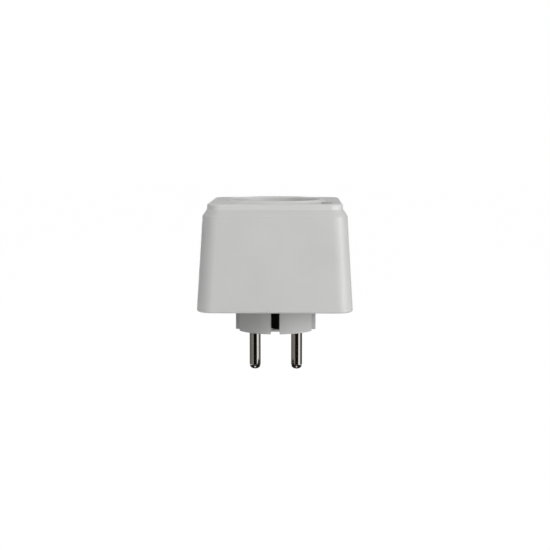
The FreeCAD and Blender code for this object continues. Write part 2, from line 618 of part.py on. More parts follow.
def face_plate():
    plate = loft([
        (PLATE_FOOT_WIDTH, PLATE_CORNER_RADIUS, Z_LEDGE),
        (PLATE_TOP_WIDTH, PLATE_CORNER_RADIUS, Z_PLATE),
    ])
    plate = plate.makeFillet(PLATE_EDGE_ROUND, outline_edges(plate, Z_PLATE))
    skirt_width = TOP_OPENING_WIDTH - 2 * SLIP
    skirt_corner = CORNER_RADIUS - WALL - SLIP
    z_skirt = Z_LEDGE - SKIRT_HEIGHT
    skirt = rounded_block(skirt_width, skirt_width, skirt_corner, z_skirt, Z_LEDGE)
    pocket_width = skirt_width - 2 * SKIRT_WALL
    pocket = rounded_block(pocket_width, pocket_width, skirt_corner - SKIRT_WALL,
                           z_skirt - 1, Z_PLATE_UNDER)
    snaps = []
    z_snap = Z_LEDGE - WALL - FREE - SNAP_HEIGHT
    for side in SIDES:
        reach = sorted((side * (skirt_width / 2 - SKIRT_WALL / 2),
                        side * (skirt_width / 2 + SNAP_REACH)))
        across = (-SNAP_WIDTH / 2, SNAP_WIDTH / 2)
        height = (z_snap, z_snap + SNAP_HEIGHT)
        snaps.append(box(reach, across, height))
        snaps.append(box(across, reach, height))
    frame = fuse([plate, skirt]).cut(pocket)
    well = cylinder(RECESS_RADIUS + WELL_WALL, Z_FLOOR_UNDER, Z_PLATE - 1)
    ring = Part.Face(ring_profile()).revolve(Vector(0, 0, 0), UP, 360)
    body = fuse([frame, well, ring] + snaps)
    body = body.cut(cylinder(RECESS_RADIUS, Z_FLOOR, Z_CREST + 1))

    # Guide noses on both sides of the well, posts under its floor and under the plate
    additions = []
    for side in SIDES:
        reach = sorted((side * NOSE_REACH, side * (RECESS_RADIUS + WELL_WALL / 2)))
        across = (-NOSE_WIDTH / 2, NOSE_WIDTH / 2)
        nose = box(reach, across, (Z_FLOOR - 0.5, Z_PLATE - NOSE_TOP_DROP))
        tip_edges = [
            edge for edge in nose.Edges
            if abs(edge.CenterOfMass.x - side * NOSE_REACH) < 1e-4
            and abs(edge.CenterOfMass.z - Z_FLOOR + 0.5) > 1e-3
        ]
        additions.append(nose.makeFillet(0.5, tip_edges))
    pivot_end = Z_CARRIER_TOP - SPRING_POCKET_DEPTH + FREE
    additions.append(cylinder(PIVOT_RADIUS, pivot_end, Z_FLOOR_UNDER + 0.5))
    additions.append(cylinder(STOP_RADIUS, Z_SHUTTER, Z_FLOOR_UNDER + 0.5, 0, STOP_OFFSET))
    for x, y in carrier_post_places():
        additions.append(cylinder(EAR_RADIUS - 0.7, Z_CARRIER_TOP, Z_FLOOR_UNDER + 0.5, x, y))
    for x, y in button_post_places():
        additions.append(cylinder(BUTTON_POST_RADIUS, Z_BUTTON_BOARD_TOP, Z_PLATE_UNDER + 0.5, x, y))
    body = fuse([body] + additions)

    # Openings: pin holes with a small lead-in, earth clips, the button and the pilot holes
    for side in SIDES:
        x = side * PIN_X
        body = body.cut(cylinder(SOCKET_HOLE_RADIUS, Z_FLOOR_UNDER - 1, Z_FLOOR + 1, x))
        lead_in = Part.makeCone(SOCKET_HOLE_RADIUS, SOCKET_HOLE_RADIUS + SOCKET_HOLE_CHAMFER,
                                SOCKET_HOLE_CHAMFER,
                                Vector(x, 0, Z_FLOOR - SOCKET_HOLE_CHAMFER), UP)
        body = body.cut(lead_in)
        y_slot = sorted((side * (clip_reach() - STRAP_THICKNESS / 2 - LOOSE),
                         side * (clip_reach() + STRAP_THICKNESS / 2 + FREE)))
        half = SOCKET_STRAP_WIDTH / 2 + LOOSE
        body = body.cut(box((-half, half), y_slot, (Z_FLOOR_UNDER - 1, Z_FLOOR + 1)))
    body = body.cut(rounded_block(BUTTON_WIDTH + 2 * SLIP, BUTTON_LENGTH + 2 * SLIP,
                                  BUTTON_CORNER + SLIP, Z_PLATE_UNDER - 1, Z_PLATE + 1,
                                  BUTTON_X, BUTTON_Y))
    for x, y in carrier_post_places():
        body = body.cut(cylinder(SMALL_SCREW_RADIUS + RUN, Z_CARRIER_TOP - 1,
                                 Z_FLOOR_UNDER + FLOOR_THICKNESS / 2, x, y))
    for x, y in button_post_places():
        body = body.cut(cylinder(SMALL_SCREW_RADIUS + RUN, Z_BUTTON_BOARD_TOP - 1,
                                 Z_PLATE_UNDER, x, y))
    return body


# ---- Socket contacts, carrier and shutter ---------------------------------------------------
def clip_reach():
    """Distance of the socket's earth clips from the centre, at the strip's middle."""
    return RECESS_RADIUS - 0.45 - STRAP_THICKNESS / 2


def socket_earth_strap():
    reach = clip_reach()
    top = Z_PLATE - CLIP_TOP_DROP
    bulge = reach - CLIP_BULGE
    half = [
        (reach - 0.1, top),
        (bulge, top - 2.6),
        (reach, top - 6.6),
        (reach, Z_SOCKET_BRIDGE),
    ]
    path = [(-y, z) for y, z in half] + half[::-1]
    strap = bent_strip(path, STRAP_BEND, STRAP_THICKNESS, SOCKET_STRAP_WIDTH)
    # The clips are narrower above the well's floor, to enter a plug's side channels
    tongue = EARTH_CHANNEL_WIDTH / 2 - FREE
    z_narrow = (Z_FLOOR + 3, Z_PLATE)
    for side in SIDES:
        x_off = sorted((side * tongue, side * SOCKET_STRAP_WIDTH))
        strap = strap.cut(box(x_off, (-RECESS_RADIUS, RECESS_RADIUS), z_narrow))
    return strap


def contact_leaf_offset():
    """Middle of a contact leaf from the pin's axis: the leaves just clear a plug pin."""
    return PIN_RADIUS + 2 * RUN + CONTACT_THICKNESS / 2


def socket_contact(side):
    leaf = contact_leaf_offset()
    z_base = Z_CONTACT_BASE
    z_top = Z_CARRIER_TOP - FREE
    half = [(leaf + CONTACT_FLARE, z_top), (leaf, z_top - 1.8), (leaf, z_base)]
    path = [(-y, z) for y, z in half] + half[::-1]
    contact = bent_strip(path, CONTACT_BEND, CONTACT_THICKNESS, CONTACT_WIDTH)
    contact.translate(Vector(side * PIN_X, 0, 0))
    edge = side * (PIN_X + CONTACT_WIDTH / 2)
    inward = edge - side * CONTACT_THICKNESS
    tail = box(sorted((inward, edge)), (-TAIL_WIDTH / 2, TAIL_WIDTH / 2), (Z_BOARD - 0.8, z_base))
    return fuse([contact, tail])


def contact_carrier():
    block = rounded_block(CARRIER_LENGTH, CARRIER_WIDTH, 2.0, Z_CARRIER, Z_CARRIER_TOP)
    parts = [block]
    for x, y in carrier_post_places():
        z_ear = Z_CARRIER_TOP - EAR_THICKNESS
        parts.append(cylinder(EAR_RADIUS, z_ear, Z_CARRIER_TOP, x, y))
        parts.append(box((x - EAR_RADIUS, x + EAR_RADIUS), sorted((0, y)), (z_ear, Z_CARRIER_TOP)))
    carrier = fuse(parts)
    for side in SIDES:
        x = side * PIN_X
        half_x = CONTACT_WIDTH / 2 + FREE
        half_y = contact_leaf_offset() + CONTACT_FLARE + CONTACT_THICKNESS + FREE
        carrier = carrier.cut(box((x - half_x, x + half_x), (-half_y, half_y),
                                  (Z_CARRIER - 1, Z_CARRIER_TOP + 1)))
    carrier = carrier.cut(cylinder(SPRING_POCKET_RADIUS, Z_CARRIER_TOP - SPRING_POCKET_DEPTH,
                                   Z_CARRIER_TOP + 1))
    for x, y in carrier_post_places():
        carrier = carrier.cut(cylinder(SMALL_SCREW_RADIUS + FREE, Z_CARRIER, Z_CARRIER_TOP + 1, x, y))
    return carrier


def carrier_screws():
    z_seat = Z_CARRIER_TOP - EAR_THICKNESS
    length = EAR_THICKNESS + Z_FLOOR_UNDER - Z_CARRIER_TOP + FLOOR_THICKNESS / 3
    screws = []
    for x, y in carrier_post_places():
        screws.append(screw(x, y, z_seat, 1, SMALL_HEAD_RADIUS, SMALL_HEAD_HEIGHT,
                            SMALL_SCREW_RADIUS, length))
    return Part.makeCompound(screws)


def shutter_disc():
    """Closed at rest. Turned by SHUTTER_TURN, its two holes come under the pin holes."""
    disc = cylinder(SHUTTER_RADIUS, Z_SHUTTER, Z_SHUTTER_TOP)
    disc = disc.cut(cylinder(PIVOT_RADIUS + RUN, Z_SHUTTER - 1, Z_SHUTTER_TOP + 1))
    angle = math.radians(-SHUTTER_TURN)
    for side in SIDES:
        x = side * PIN_X * math.cos(angle)
        y = side * PIN_X * math.sin(angle)
        disc = disc.cut(cylinder(SHUTTER_HOLE_RADIUS, Z_SHUTTER - 1, Z_SHUTTER_TOP + 1, x, y))
    # Curved slot that runs along the fixed stop peg
    half_width = STOP_RADIUS + FREE
    margin = math.degrees(half_width / STOP_OFFSET)
    slot = ring_sector(STOP_OFFSET, half_width, Z_SHUTTER - 1, Z_SHUTTER_TOP + 1,
                       90 - SHUTTER_TURN - margin, SHUTTER_TURN + 2 * margin)
    return disc.cut(slot)


def shutter_spring():
    """Flat spiral spring round the pivot, in the carrier's pocket: half turns that widen."""
    z_low = Z_CARRIER_TOP - SPRING_POCKET_DEPTH
    room = SPRING_POCKET_RADIUS - PIVOT_RADIUS - 2 * FREE - SPRING_THICKNESS
    step = room / SPRING_HALF_TURNS
    start = PIVOT_RADIUS + FREE + SPRING_THICKNESS / 2
    inner = []
    outer = []
    for index in range(SPRING_HALF_TURNS):
        centre = Vector((index % 2) * step, 0, z_low)
        radius = start + index * step
        first = index * math.pi
        for offset, edges in ((-SPRING_THICKNESS / 2, inner), (SPRING_THICKNESS / 2, outer)):
            circle = Part.Circle(centre, UP, radius + offset)
            edges.append(Part.Arc(circle, first, first + math.pi).toShape())
    caps = [
        Part.makeLine(inner[0].Vertexes[0].Point, outer[0].Vertexes[0].Point),
        Part.makeLine(inner[-1].Vertexes[-1].Point, outer[-1].Vertexes[-1].Point),
    ]
    outline = Part.Wire(Part.__sortEdges__(inner + outer + caps))
    return Part.Face(outline).extrude(Vector(0, 0, SPRING_HEIGHT))


# ---- Main board and what stands on it --------------------------------------------------------
def main_board():
    board = centred_box((BOARD_WIDTH, BOARD_WIDTH, BOARD_THICKNESS), 0, 0, Z_BOARD)
    inner = POST_SIDE - LOOSE / 2
    outer = BOARD_WIDTH / 2 + 1
    height = (Z_BOARD - 1, Z_BOARD_TOP + 1)
    for sx, sy in CORNERS:
        board = board.cut(box(sorted((sx * inner, sx * outer)), sorted((sy * inner, sy * outer)),
                              height))
    for side in SIDES:
        board = board.cut(cylinder(PIN_SPIGOT_RADIUS + RUN, height[0], height[1], side * PIN_X))
        tail_x = side * (PIN_X + CONTACT_WIDTH / 2 - CONTACT_THICKNESS / 2)
        tail_slot = (CONTACT_THICKNESS + 2 * SLIP, TAIL_WIDTH + 2 * SLIP, BOARD_THICKNESS + 2)
        board = board.cut(centred_box(tail_slot, tail_x, 0, height[0]))
    for x, y in board_screw_places():
        board = board.cut(cylinder(SMALL_SCREW_RADIUS + SLIP, height[0], height[1], x, y))
    link_slot = (EARTH_CHANNEL_WIDTH + 2 * SLIP, STRAP_THICKNESS + 2 * FREE, BOARD_THICKNESS + 2)
    return board.cut(centred_box(link_slot, 0, earth_link_place(), height[0]))


def board_screws():
    screws = []
    for x, y in board_screw_places():
        screws.append(screw(x, y, Z_BOARD_TOP, -1, SMALL_HEAD_RADIUS, SMALL_HEAD_HEIGHT,
                            SMALL_SCREW_RADIUS, Z_BOARD_TOP - Z_COVER_TOP))
    return Part.makeCompound(screws)


def rounded_component(size, x, y, round_radius):
    """A boxed component that stands on the main board, with its upper edges rounded."""
    body = centred_box(size, x, y, Z_BOARD_TOP)
    return body.makeFillet(round_radius, outline_edges(body, Z_BOARD_TOP + size[2]))


def upright_can(radius, height, x, y, round_radius):
    can = cylinder(radius, Z_BOARD_TOP, Z_BOARD_TOP + height, x, y)
    return can.makeFillet(round_radius, outline_edges(can, Z_BOARD_TOP + height))


def row_places(depths):
    """Low side of each row of components from the contact carrier to the board's edge."""
    gap = (BOARD_WIDTH / 2 - CARRIER_WIDTH / 2 - sum(depths)) / (len(depths) + 1)
    places = []
    here = CARRIER_WIDTH / 2
    for depth in depths:
        here += gap
        places.append(here)
        here += depth
    return places


def relay():
    y = row_places([RELAY_DEPTH])[0] + RELAY_DEPTH / 2
    size = (WIDE_LENGTH, RELAY_DEPTH, COMPONENT_ROOM)
    return rounded_component(size, WIDE_LENGTH / 2 - POST_SIDE, y, RELAY_ROUND)


def filter_capacitor():
    y = row_places([FILTER_DEPTH, VARISTOR_THICKNESS])[0] + FILTER_DEPTH / 2
    size = (WIDE_LENGTH, FILTER_DEPTH, COMPONENT_ROOM - 2 * LOOSE)
    return rounded_component(size, POST_SIDE - WIDE_LENGTH / 2, y, FILTER_ROUND)


def varistor():
    """A disc standing on edge, on two wire legs."""
    x = POST_SIDE - WIDE_LENGTH / 2
    y = row_places([FILTER_DEPTH, VARISTOR_THICKNESS])[1]
    z_middle = Z_BOARD_TOP + VARISTOR_RADIUS + VARISTOR_LIFT
    centre = Vector(x, y, z_middle)
    disc = Part.makeCylinder(VARISTOR_RADIUS, VARISTOR_THICKNESS, centre, Vector(0, 1, 0))
    disc = disc.makeFillet(VARISTOR_ROUND, disc.Edges)
    middle = y + VARISTOR_THICKNESS / 2
    legs = []
    for side in SIDES:
        x_leg = x + side * VARISTOR_LEG_PITCH / 2
        legs.append(cylinder(LEG_RADIUS, Z_BOARD_TOP, z_middle, x_leg, middle))
    return fuse([disc] + legs)


def front_row():
    """Middle of the first row of components on the button's side."""
    return -row_places([2 * CAN_RADIUS, SHIELD_DEPTH + RADIO_THICKNESS])[0] - CAN_RADIUS


def smoothing_capacitors():
    first = CAN_RADIUS - POST_SIDE
    second = first + 2 * CAN_RADIUS + CAN_SPACING
    cans = [upright_can(CAN_RADIUS, CAN_HEIGHT, x, front_row(), CAN_ROUND) for x in (first, second)]
    return Part.makeCompound(cans)


def fuse_resistor_start():
    return POST_SIDE - RESISTOR_LENGTH - 2 * RESISTOR_LEAD


def fuse_resistor():
    """A small round body lying on the board between two bent legs."""
    start = fuse_resistor_start()
    y = front_row()
    z_middle = Z_BOARD_TOP + RESISTOR_RADIUS
    along = Vector(1, 0, 0)
    body = Part.makeCylinder(RESISTOR_RADIUS, RESISTOR_LENGTH,
                             Vector(start + RESISTOR_LEAD, y, z_middle), along)
    body = body.makeFillet(RESISTOR_ROUND, body.Edges)
    end = start + RESISTOR_LENGTH + 2 * RESISTOR_LEAD
    wire = Part.makeCylinder(LEAD_RADIUS, end - start, Vector(start, y, z_middle), along)
    z_leg = z_middle + LEAD_RADIUS
    legs = [cylinder(LEAD_RADIUS, Z_BOARD_TOP, z_leg, x, y)
            for x in (start + LEAD_RADIUS, end - LEAD_RADIUS)]
    return fuse([body, wire] + legs)


def filter_inductor():
    x = fuse_resistor_start() - CAN_SPACING - COIL_FLANGE_RADIUS
    y = front_row()
    z_top = Z_BOARD_TOP + COIL_HEIGHT
    low = cylinder(COIL_FLANGE_RADIUS, Z_BOARD_TOP, Z_BOARD_TOP + COIL_FLANGE, x, y)
    coil = cylinder(COIL_RADIUS, Z_BOARD_TOP, z_top, x, y)
    high = cylinder(COIL_FLANGE_RADIUS, z_top - COIL_FLANGE, z_top, x, y)
    return fuse([low, coil, high])


def beside_carrier():
    """Half way between the contact carrier and the board's screw heads."""
    return (CARRIER_LENGTH / 2 + STANDOFF_OFFSET - SMALL_HEAD_RADIUS) / 2


def current_shunt():
    """A wide resistance bridge between two board pads."""
    reach = SHUNT_SPAN / 2
    half = [(reach, Z_BOARD_TOP), (reach, Z_BOARD_TOP + SHUNT_HEIGHT)]
    path = [(-y, z) for y, z in half] + half[::-1]
    bridge = bent_strip(path, SHUNT_BEND, SHUNT_THICKNESS, SHUNT_WIDTH)
    bridge.translate(Vector(-beside_carrier(), 0, 0))
    return bridge


def leaded_chip(length, y, legs):
    """A flat chip along Y, beside the contact carrier, with a row of short legs on both sides."""
    x = beside_carrier()
    parts = [centred_box((CHIP_WIDTH, length, CHIP_HEIGHT), x, y, Z_BOARD_TOP + CHIP_LIFT)]
    pitch = length / legs
    size = (CHIP_WIDTH + 2 * CHIP_LEG, pitch / 3, CHIP_LEG_THICKNESS)
    for index in range(legs):
        place = y - length / 2 + pitch * (index + 0.5)
        parts.append(centred_box(size, x, place, Z_BOARD_TOP))
    return fuse(parts)


def metering_chip():
    return leaded_chip(METER_CHIP_LENGTH, -SMALL_HEAD_RADIUS - LOOSE - METER_CHIP_LENGTH / 2, 8)


def supply_chip():
    return leaded_chip(SUPPLY_CHIP_LENGTH, SUPPLY_CHIP_OFFSET, 4)


def shield_side():
    """The shield's inner side, as a distance from the centre."""
    return row_places([2 * CAN_RADIUS, SHIELD_DEPTH + RADIO_THICKNESS])[1]


def radio_module():
    y = -shield_side() - SHIELD_DEPTH - RADIO_THICKNESS / 2
    return centred_box((RADIO_WIDTH, RADIO_THICKNESS, RADIO_HEIGHT), 0, y, Z_BOARD_TOP)


def radio_shield():
    y_front = -shield_side()
    size = (SHIELD_WIDTH, SHIELD_DEPTH, SHIELD_HEIGHT)
    shield = centred_box(size, 0, y_front - SHIELD_DEPTH / 2, Z_BOARD_TOP + SHIELD_LIFT)
    front = [edge for edge in shield.Edges if abs(edge.CenterOfMass.y - y_front) < 1e-4]
    return shield.makeFillet(SHIELD_ROUND, front)


# ---- Button and its board ---------------------------------------------------------------------
def button_board_front():
    return BUTTON_Y - BUTTON_LENGTH / 2 - BUTTON_BOARD_MARGIN


def button_board():
    low_x = button_post_places()[0][0] - BUTTON_POST_RADIUS - FREE
    high_y = button_post_places()[1][1] + BUTTON_POST_RADIUS + FREE
    z_low = Z_BUTTON_BOARD_TOP - BUTTON_BOARD_THICKNESS
    height = (z_low, Z_BUTTON_BOARD_TOP)
    board = box((low_x, SKIRT_INSIDE), (button_board_front(), high_y), height)
    board = board.cut(cylinder(RECESS_RADIUS + WELL_WALL + 2 * FREE, z_low - 1,
                               Z_BUTTON_BOARD_TOP + 1))
    for x, y in button_post_places():
        board = board.cut(cylinder(SMALL_SCREW_RADIUS + SLIP, z_low - 1, Z_BUTTON_BOARD_TOP + 1, x, y))
    return board


def button_board_screws():
    z_seat = Z_BUTTON_BOARD_TOP - BUTTON_BOARD_THICKNESS
    screws = []
    for x, y in button_post_places():
        screws.append(screw(x, y, z_seat, 1, SMALL_HEAD_RADIUS, SMALL_HEAD_HEIGHT,
                            SMALL_SCREW_RADIUS, BUTTON_BOARD_DROP * 0.9))
    return Part.makeCompound(screws)


def tact_switch():
    size = (SWITCH_WIDTH, SWITCH_WIDTH, SWITCH_HEIGHT)
    body = centred_box(size, BUTTON_X, BUTTON_Y + SWITCH_OFFSET, Z_BUTTON_BOARD_TOP)
    bore = cylinder(PLUNGER_RADIUS + SLIP, Z_BUTTON_BOARD_TOP + FREE,
                    Z_BUTTON_BOARD_TOP + SWITCH_HEIGHT + 1, BUTTON_X, BUTTON_Y + SWITCH_OFFSET)
    return body.cut(bore)


def plunger_top():
    return Z_BUTTON_BOARD_TOP + SWITCH_HEIGHT + PLUNGER_STAND


def switch_plunger():
    z_low = Z_BUTTON_BOARD_TOP + 2 * FREE + BUTTON_TRAVEL
    return cylinder(PLUNGER_RADIUS, z_low, plunger_top(), BUTTON_X, BUTTON_Y + SWITCH_OFFSET)


def status_led():
    return centred_box(LED_SIZE, BUTTON_X, BUTTON_Y + LED_OFFSET, Z_BUTTON_BOARD_TOP)


def button_cap():
    z_flange_top = Z_PLATE_UNDER - 2 * RUN
    z_flange = z_flange_top - BUTTON_FLANGE_THICKNESS
    top = Z_PLATE + BUTTON_STAND
    cap = rounded_block(BUTTON_WIDTH, BUTTON_LENGTH, BUTTON_CORNER, z_flange, top,
                        BUTTON_X, BUTTON_Y)
    cap = cap.makeFillet(0.3, outline_edges(cap, top))
    flange = rounded_block(BUTTON_WIDTH + 2 * BUTTON_FLANGE, BUTTON_LENGTH + 2 * BUTTON_FLANGE,
                           BUTTON_CORNER + BUTTON_FLANGE, z_flange, z_flange_top,
                           BUTTON_X, BUTTON_Y)
    stem = cylinder(PLUNGER_RADIUS * 1.2, plunger_top(), z_flange + 0.5,
                    BUTTON_X, BUTTON_Y + SWITCH_OFFSET)
    return fuse([cap, flange, stem])


def ribbon_cable():
    x = POST_SIDE - RIBBON_WIDTH / 2 - 2 * LOOSE
    height = Z_BUTTON_BOARD_TOP - BUTTON_BOARD_THICKNESS - Z_BOARD_TOP
    size = (RIBBON_WIDTH, RIBBON_THICKNESS, height)
    return centred_box(size, x, button_board_front() + RIBBON_THICKNESS / 2, Z_BOARD_TOP)


# ---- Assembly -----------------------------------------------------------------------------------
PIECES = {
    "housing_shell": housing_shell,
    "rear_cover": rear_cover,
    "face_plate": face_plate,
    "housing_screws": housing_screws,
    "plug_pin_line": lambda: plug_pin(1),
    "plug_pin_neutral": lambda: plug_pin(-1),
    "plug_earth_strap": plug_earth_strap,
    "earth_pin_sleeve": earth_pin_sleeve,
    "earth_link": earth_link,
    "socket_earth_strap": socket_earth_strap,
    "socket_contact_line": lambda: socket_contact(1),
    "socket_contact_neutral": lambda: socket_contact(-1),
    "contact_carrier": contact_carrier,
    "carrier_screws": carrier_screws,
    "shutter_disc": shutter_disc,
    "shutter_spring": shutter_spring,
    "main_board": main_board,
    "board_screws": board_screws,
    "relay": relay,
    "filter_capacitor": filter_capacitor,
    "smoothing_capacitors": smoothing_capacitors,
    "filter_inductor": filter_inductor,
    "varistor": varistor,
    "fuse_resistor": fuse_resistor,
    "current_shunt": current_shunt,
    "metering_chip": metering_chip,
    "supply_chip": supply_chip,
    "radio_module": radio_module,
    "radio_shield": radio_shield,
    "button_board": button_board,
    "button_board_screws": button_board_screws,
    "tact_switch": tact_switch,
    "switch_plunger": switch_plunger,
    "status_led": status_led,
    "button_cap": button_cap,
    "ribbon_cable": ribbon_cable,
}

os.makedirs("parts", exist_ok=True)
for node, make in PIECES.items():
    shape = make()
    shape.exportStep("parts/" + node + ".step")
    print(node, "solids", len(shape.Solids), "valid", shape.isValid(), "volume", round(shape.Volume, 2))
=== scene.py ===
import json
import math

import bmesh
import bpy
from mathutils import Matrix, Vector

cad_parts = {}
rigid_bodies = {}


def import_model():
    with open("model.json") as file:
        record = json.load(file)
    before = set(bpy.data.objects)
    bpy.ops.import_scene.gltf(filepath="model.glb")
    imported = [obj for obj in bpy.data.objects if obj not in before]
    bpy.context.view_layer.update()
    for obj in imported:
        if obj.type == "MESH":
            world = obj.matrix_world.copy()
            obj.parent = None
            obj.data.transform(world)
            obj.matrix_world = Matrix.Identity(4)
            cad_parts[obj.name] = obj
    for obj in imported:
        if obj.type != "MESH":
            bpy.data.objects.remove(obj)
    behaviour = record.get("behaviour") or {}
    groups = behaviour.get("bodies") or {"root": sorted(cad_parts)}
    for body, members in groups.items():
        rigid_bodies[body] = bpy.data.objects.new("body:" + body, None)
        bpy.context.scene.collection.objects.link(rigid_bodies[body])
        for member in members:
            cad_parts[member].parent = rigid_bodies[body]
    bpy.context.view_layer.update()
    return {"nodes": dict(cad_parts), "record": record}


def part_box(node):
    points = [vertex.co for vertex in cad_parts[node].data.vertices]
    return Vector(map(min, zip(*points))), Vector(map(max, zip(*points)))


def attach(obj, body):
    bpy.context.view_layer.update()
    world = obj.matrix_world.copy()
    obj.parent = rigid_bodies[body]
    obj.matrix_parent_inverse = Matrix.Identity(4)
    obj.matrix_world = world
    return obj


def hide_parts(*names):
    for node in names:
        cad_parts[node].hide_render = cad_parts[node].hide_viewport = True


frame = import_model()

# Plug-in power meter: light grey square housing, socket well on top, plug boss and pins below.
# Everything is in metres, in the part's own frame: +Z out of the wall, origin at the plug's face.
MM = 0.001

# ---- Sizes of the visible forms --------------------------------------------------------------
BASE_CORNER = 7.0 * MM
FOOT_CORNER = 6.0 * MM
WALL = 2.2 * MM
SHOULDER_WIDTH = 62.55 * MM
LEDGE_RISE = 2.8 * MM
OPENING_WIDTH = 56.0 * MM
SNAP_ROOM = 0.75 * MM
BASE_ROUND = 0.9 * MM
SHOULDER_ROUND = 0.5 * MM
OPENING_EDGE = 0.6 * MM         # straight stretch at the opening's edge
TURN_SHARE = 0.7                # part of the wall by which the inside turns in below the shoulder
COVER_THICKNESS = 2.5 * MM

PLATE_WIDTH = 58.6 * MM
RING_RISE = 0.8 * MM
PLATE_THICKNESS = 2.0 * MM
PLATE_ROUND = 1.0 * MM
SKIRT_GAP = 0.15 * MM
SKIRT_WALL = 1.2 * MM
SKIRT_HEIGHT = 4.2 * MM
WELL_RADIUS = 19.75 * MM
WELL_WALL = 1.95 * MM
WELL_DEPTH = 17.5 * MM
FLOOR_THICKNESS = 2.4 * MM
FLOOR_ROUND = 0.5 * MM
LIP_RADIUS = 1.0 * MM
SLOPE_RADIUS = 4.0 * MM
RING_FOOT_RADIUS = 2.0 * MM
NOSE_REACH = 16.9 * MM
NOSE_WIDTH = 4.8 * MM
NOSE_DROP = 1.6 * MM
NOSE_ROUND = 0.45 * MM
PIN_HOLE_RADIUS = 2.6 * MM
PIN_HOLE_CHAMFER = 0.4 * MM
CLIP_SLOT_ROOM = 0.4 * MM       # beside the earth clips and in front of them
CLIP_SLOT_BACK = 0.3 * MM       # behind the earth clips

BUTTON_WIDTH = 4.4 * MM
BUTTON_LENGTH = 9.5 * MM
BUTTON_CORNER = 0.8 * MM
BUTTON_ROUND = 0.3 * MM
BUTTON_GAP = 0.15 * MM
BUTTON_FLANGE = 0.5 * MM
FLANGE_THICKNESS = 0.9 * MM
FLANGE_DROP = 0.1 * MM          # the flange's top below the plate's underside
STEM_RADIUS = 1.44 * MM
STEM_OVERLAP = 0.1 * MM         # how far the stem reaches into the flange

PLUG_RADIUS = 18.5 * MM
PLUG_FLAT = 16.2 * MM
GUIDE_CHANNEL = 5.6 * MM
RIB_THICKNESS = 1.5 * MM
RIB_REACH = 18.05 * MM
CHANNEL_WIDTH = 3.9 * MM
CHANNEL_DEPTH = 4.3 * MM
NOTCH_DEPTH = 7.1 * MM
NOTCH_HEIGHT = 2.2 * MM
EARTH_HOLE_OFFSET = 10.0 * MM
PIN_PITCH = 19.0 * MM
PIN_TIP_ROUND = 2.1 * MM
TIP_RING = 0.1 * MM             # ring of vertices above the tip that holds its shading
COLLAR_RADIUS = 2.6 * MM
COLLAR_HEIGHT = 1.2 * MM
COLLAR_GAP = 0.05 * MM
SHANK_RADIUS = 2.0 * MM
SHANK_TOP = 9.0 * MM
SPIGOT_RADIUS = 1.5 * MM
STRIP = 0.8 * MM
STRIP_BEND = 1.0 * MM
HOOK_RISE = 2.4 * MM            # the plug strip's turned-up end
BEND_ROOM = 0.1 * MM            # beyond the two bends at the plug strip's foot
CLIP_LEAN = 0.1 * MM            # how far a clip's top end leans inward
CLIP_BULGE = 1.1 * MM
CLIP_TOP_DROP = 2.6 * MM
CLIP_BULGE_DROP = 2.6 * MM      # from the clip's top to its bulge
CLIP_FOOT_DROP = 6.6 * MM       # from the clip's top to the foot of its tongue
TONGUE_INSET = 0.3 * MM
TONGUE_FOOT = 3.0 * MM          # above the well's floor
TONGUE_WASTE = 4.0 * MM         # how far the cut beside a tongue reaches

SCREW_PITCH = 52.0 * MM
SCREW_RADIUS = 1.25 * MM
SCREW_TIP_LENGTH = 1.2 * MM
SCREW_TIP_RADIUS = 0.3 * MM
SCREW_HOLE_RADIUS = 1.55 * MM
HEAD_RADIUS = 2.7 * MM
HEAD_HEIGHT = 1.2 * MM
HEAD_ROUND = 0.5 * MM
SEAT_RADIUS = 3.0 * MM
SEAT_DEPTH = 1.35 * MM
RECESS_LONG = 1.5 * MM
RECESS_SHORT = 0.3 * MM
RECESS_DEPTH = 0.75 * MM

SIDES = (-1, 1)
CORNERS = ((1, 1), (-1, 1), (-1, -1), (1, -1))
CORNER_STEPS = 23
ROUND_STEPS = 4 * CORNER_STEPS
BEND_STEPS = 6
SHARP_ANGLE = 32.0              # degrees between faces above which an edge stays sharp
SAME_PLACE = 1e-6
KEY_SCALE = 1e7

# ---- Places read from the frame ---------------------------------------------------------------
shell_low, shell_high = (Vector(corner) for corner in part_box("housing_shell"))
plate_high = Vector(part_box("face_plate")[1])
cover_high = Vector(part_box("rear_cover")[1])
button_low, button_high = (Vector(corner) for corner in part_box("button_cap"))
pin_low, pin_high = (Vector(corner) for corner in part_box("plug_pin_line"))
strap_low, strap_high = (Vector(corner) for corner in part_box("plug_earth_strap"))
clip_low, clip_high = (Vector(corner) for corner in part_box("socket_earth_strap"))
screws_low, screws_high = (Vector(corner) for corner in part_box("housing_screws"))
plunger_low, plunger_high = (Vector(corner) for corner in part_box("switch_plunger"))

Z_WALL = shell_low.z
Z_LEDGE = shell_high.z
Z_SHOULDER = Z_LEDGE - LEDGE_RISE
Z_CREST = plate_high.z
Z_PLATE = Z_CREST - RING_RISE
Z_UNDER = Z_PLATE - PLATE_THICKNESS
Z_FLOOR = Z_PLATE - WELL_DEPTH
TAPER = (shell_high.x - SHOULDER_WIDTH / 2) / (Z_SHOULDER - Z_WALL - BASE_ROUND)
BASE_WIDTH = 2 * (shell_high.x + TAPER * BASE_ROUND)
FOOT_WIDTH = 2 * plate_high.x
COVER_WIDTH = 2 * cover_high.x
BUTTON_CENTRE = (button_low + button_high) / 2
PLUNGER_CENTRE = (plunger_low + plunger_high) / 2
SCREW_PLACES = [(sx * SCREW_PITCH / 2, sy * SCREW_PITCH / 2) for sx in SIDES for sy in SIDES]
# Half the box of the pin's node. The box holds the collar, so this is the collar's radius and
# not the 2.4 mm of the pin below the face.
PIN_RADIUS = (pin_high.x - pin_low.x) / 2


# ---- Modelling helpers -------------------------------------------------------------------------
def deselect_all():
    if bpy.context.mode != "OBJECT":
        bpy.ops.object.mode_set(mode="OBJECT")
    bpy.ops.object.select_all(action="DESELECT")


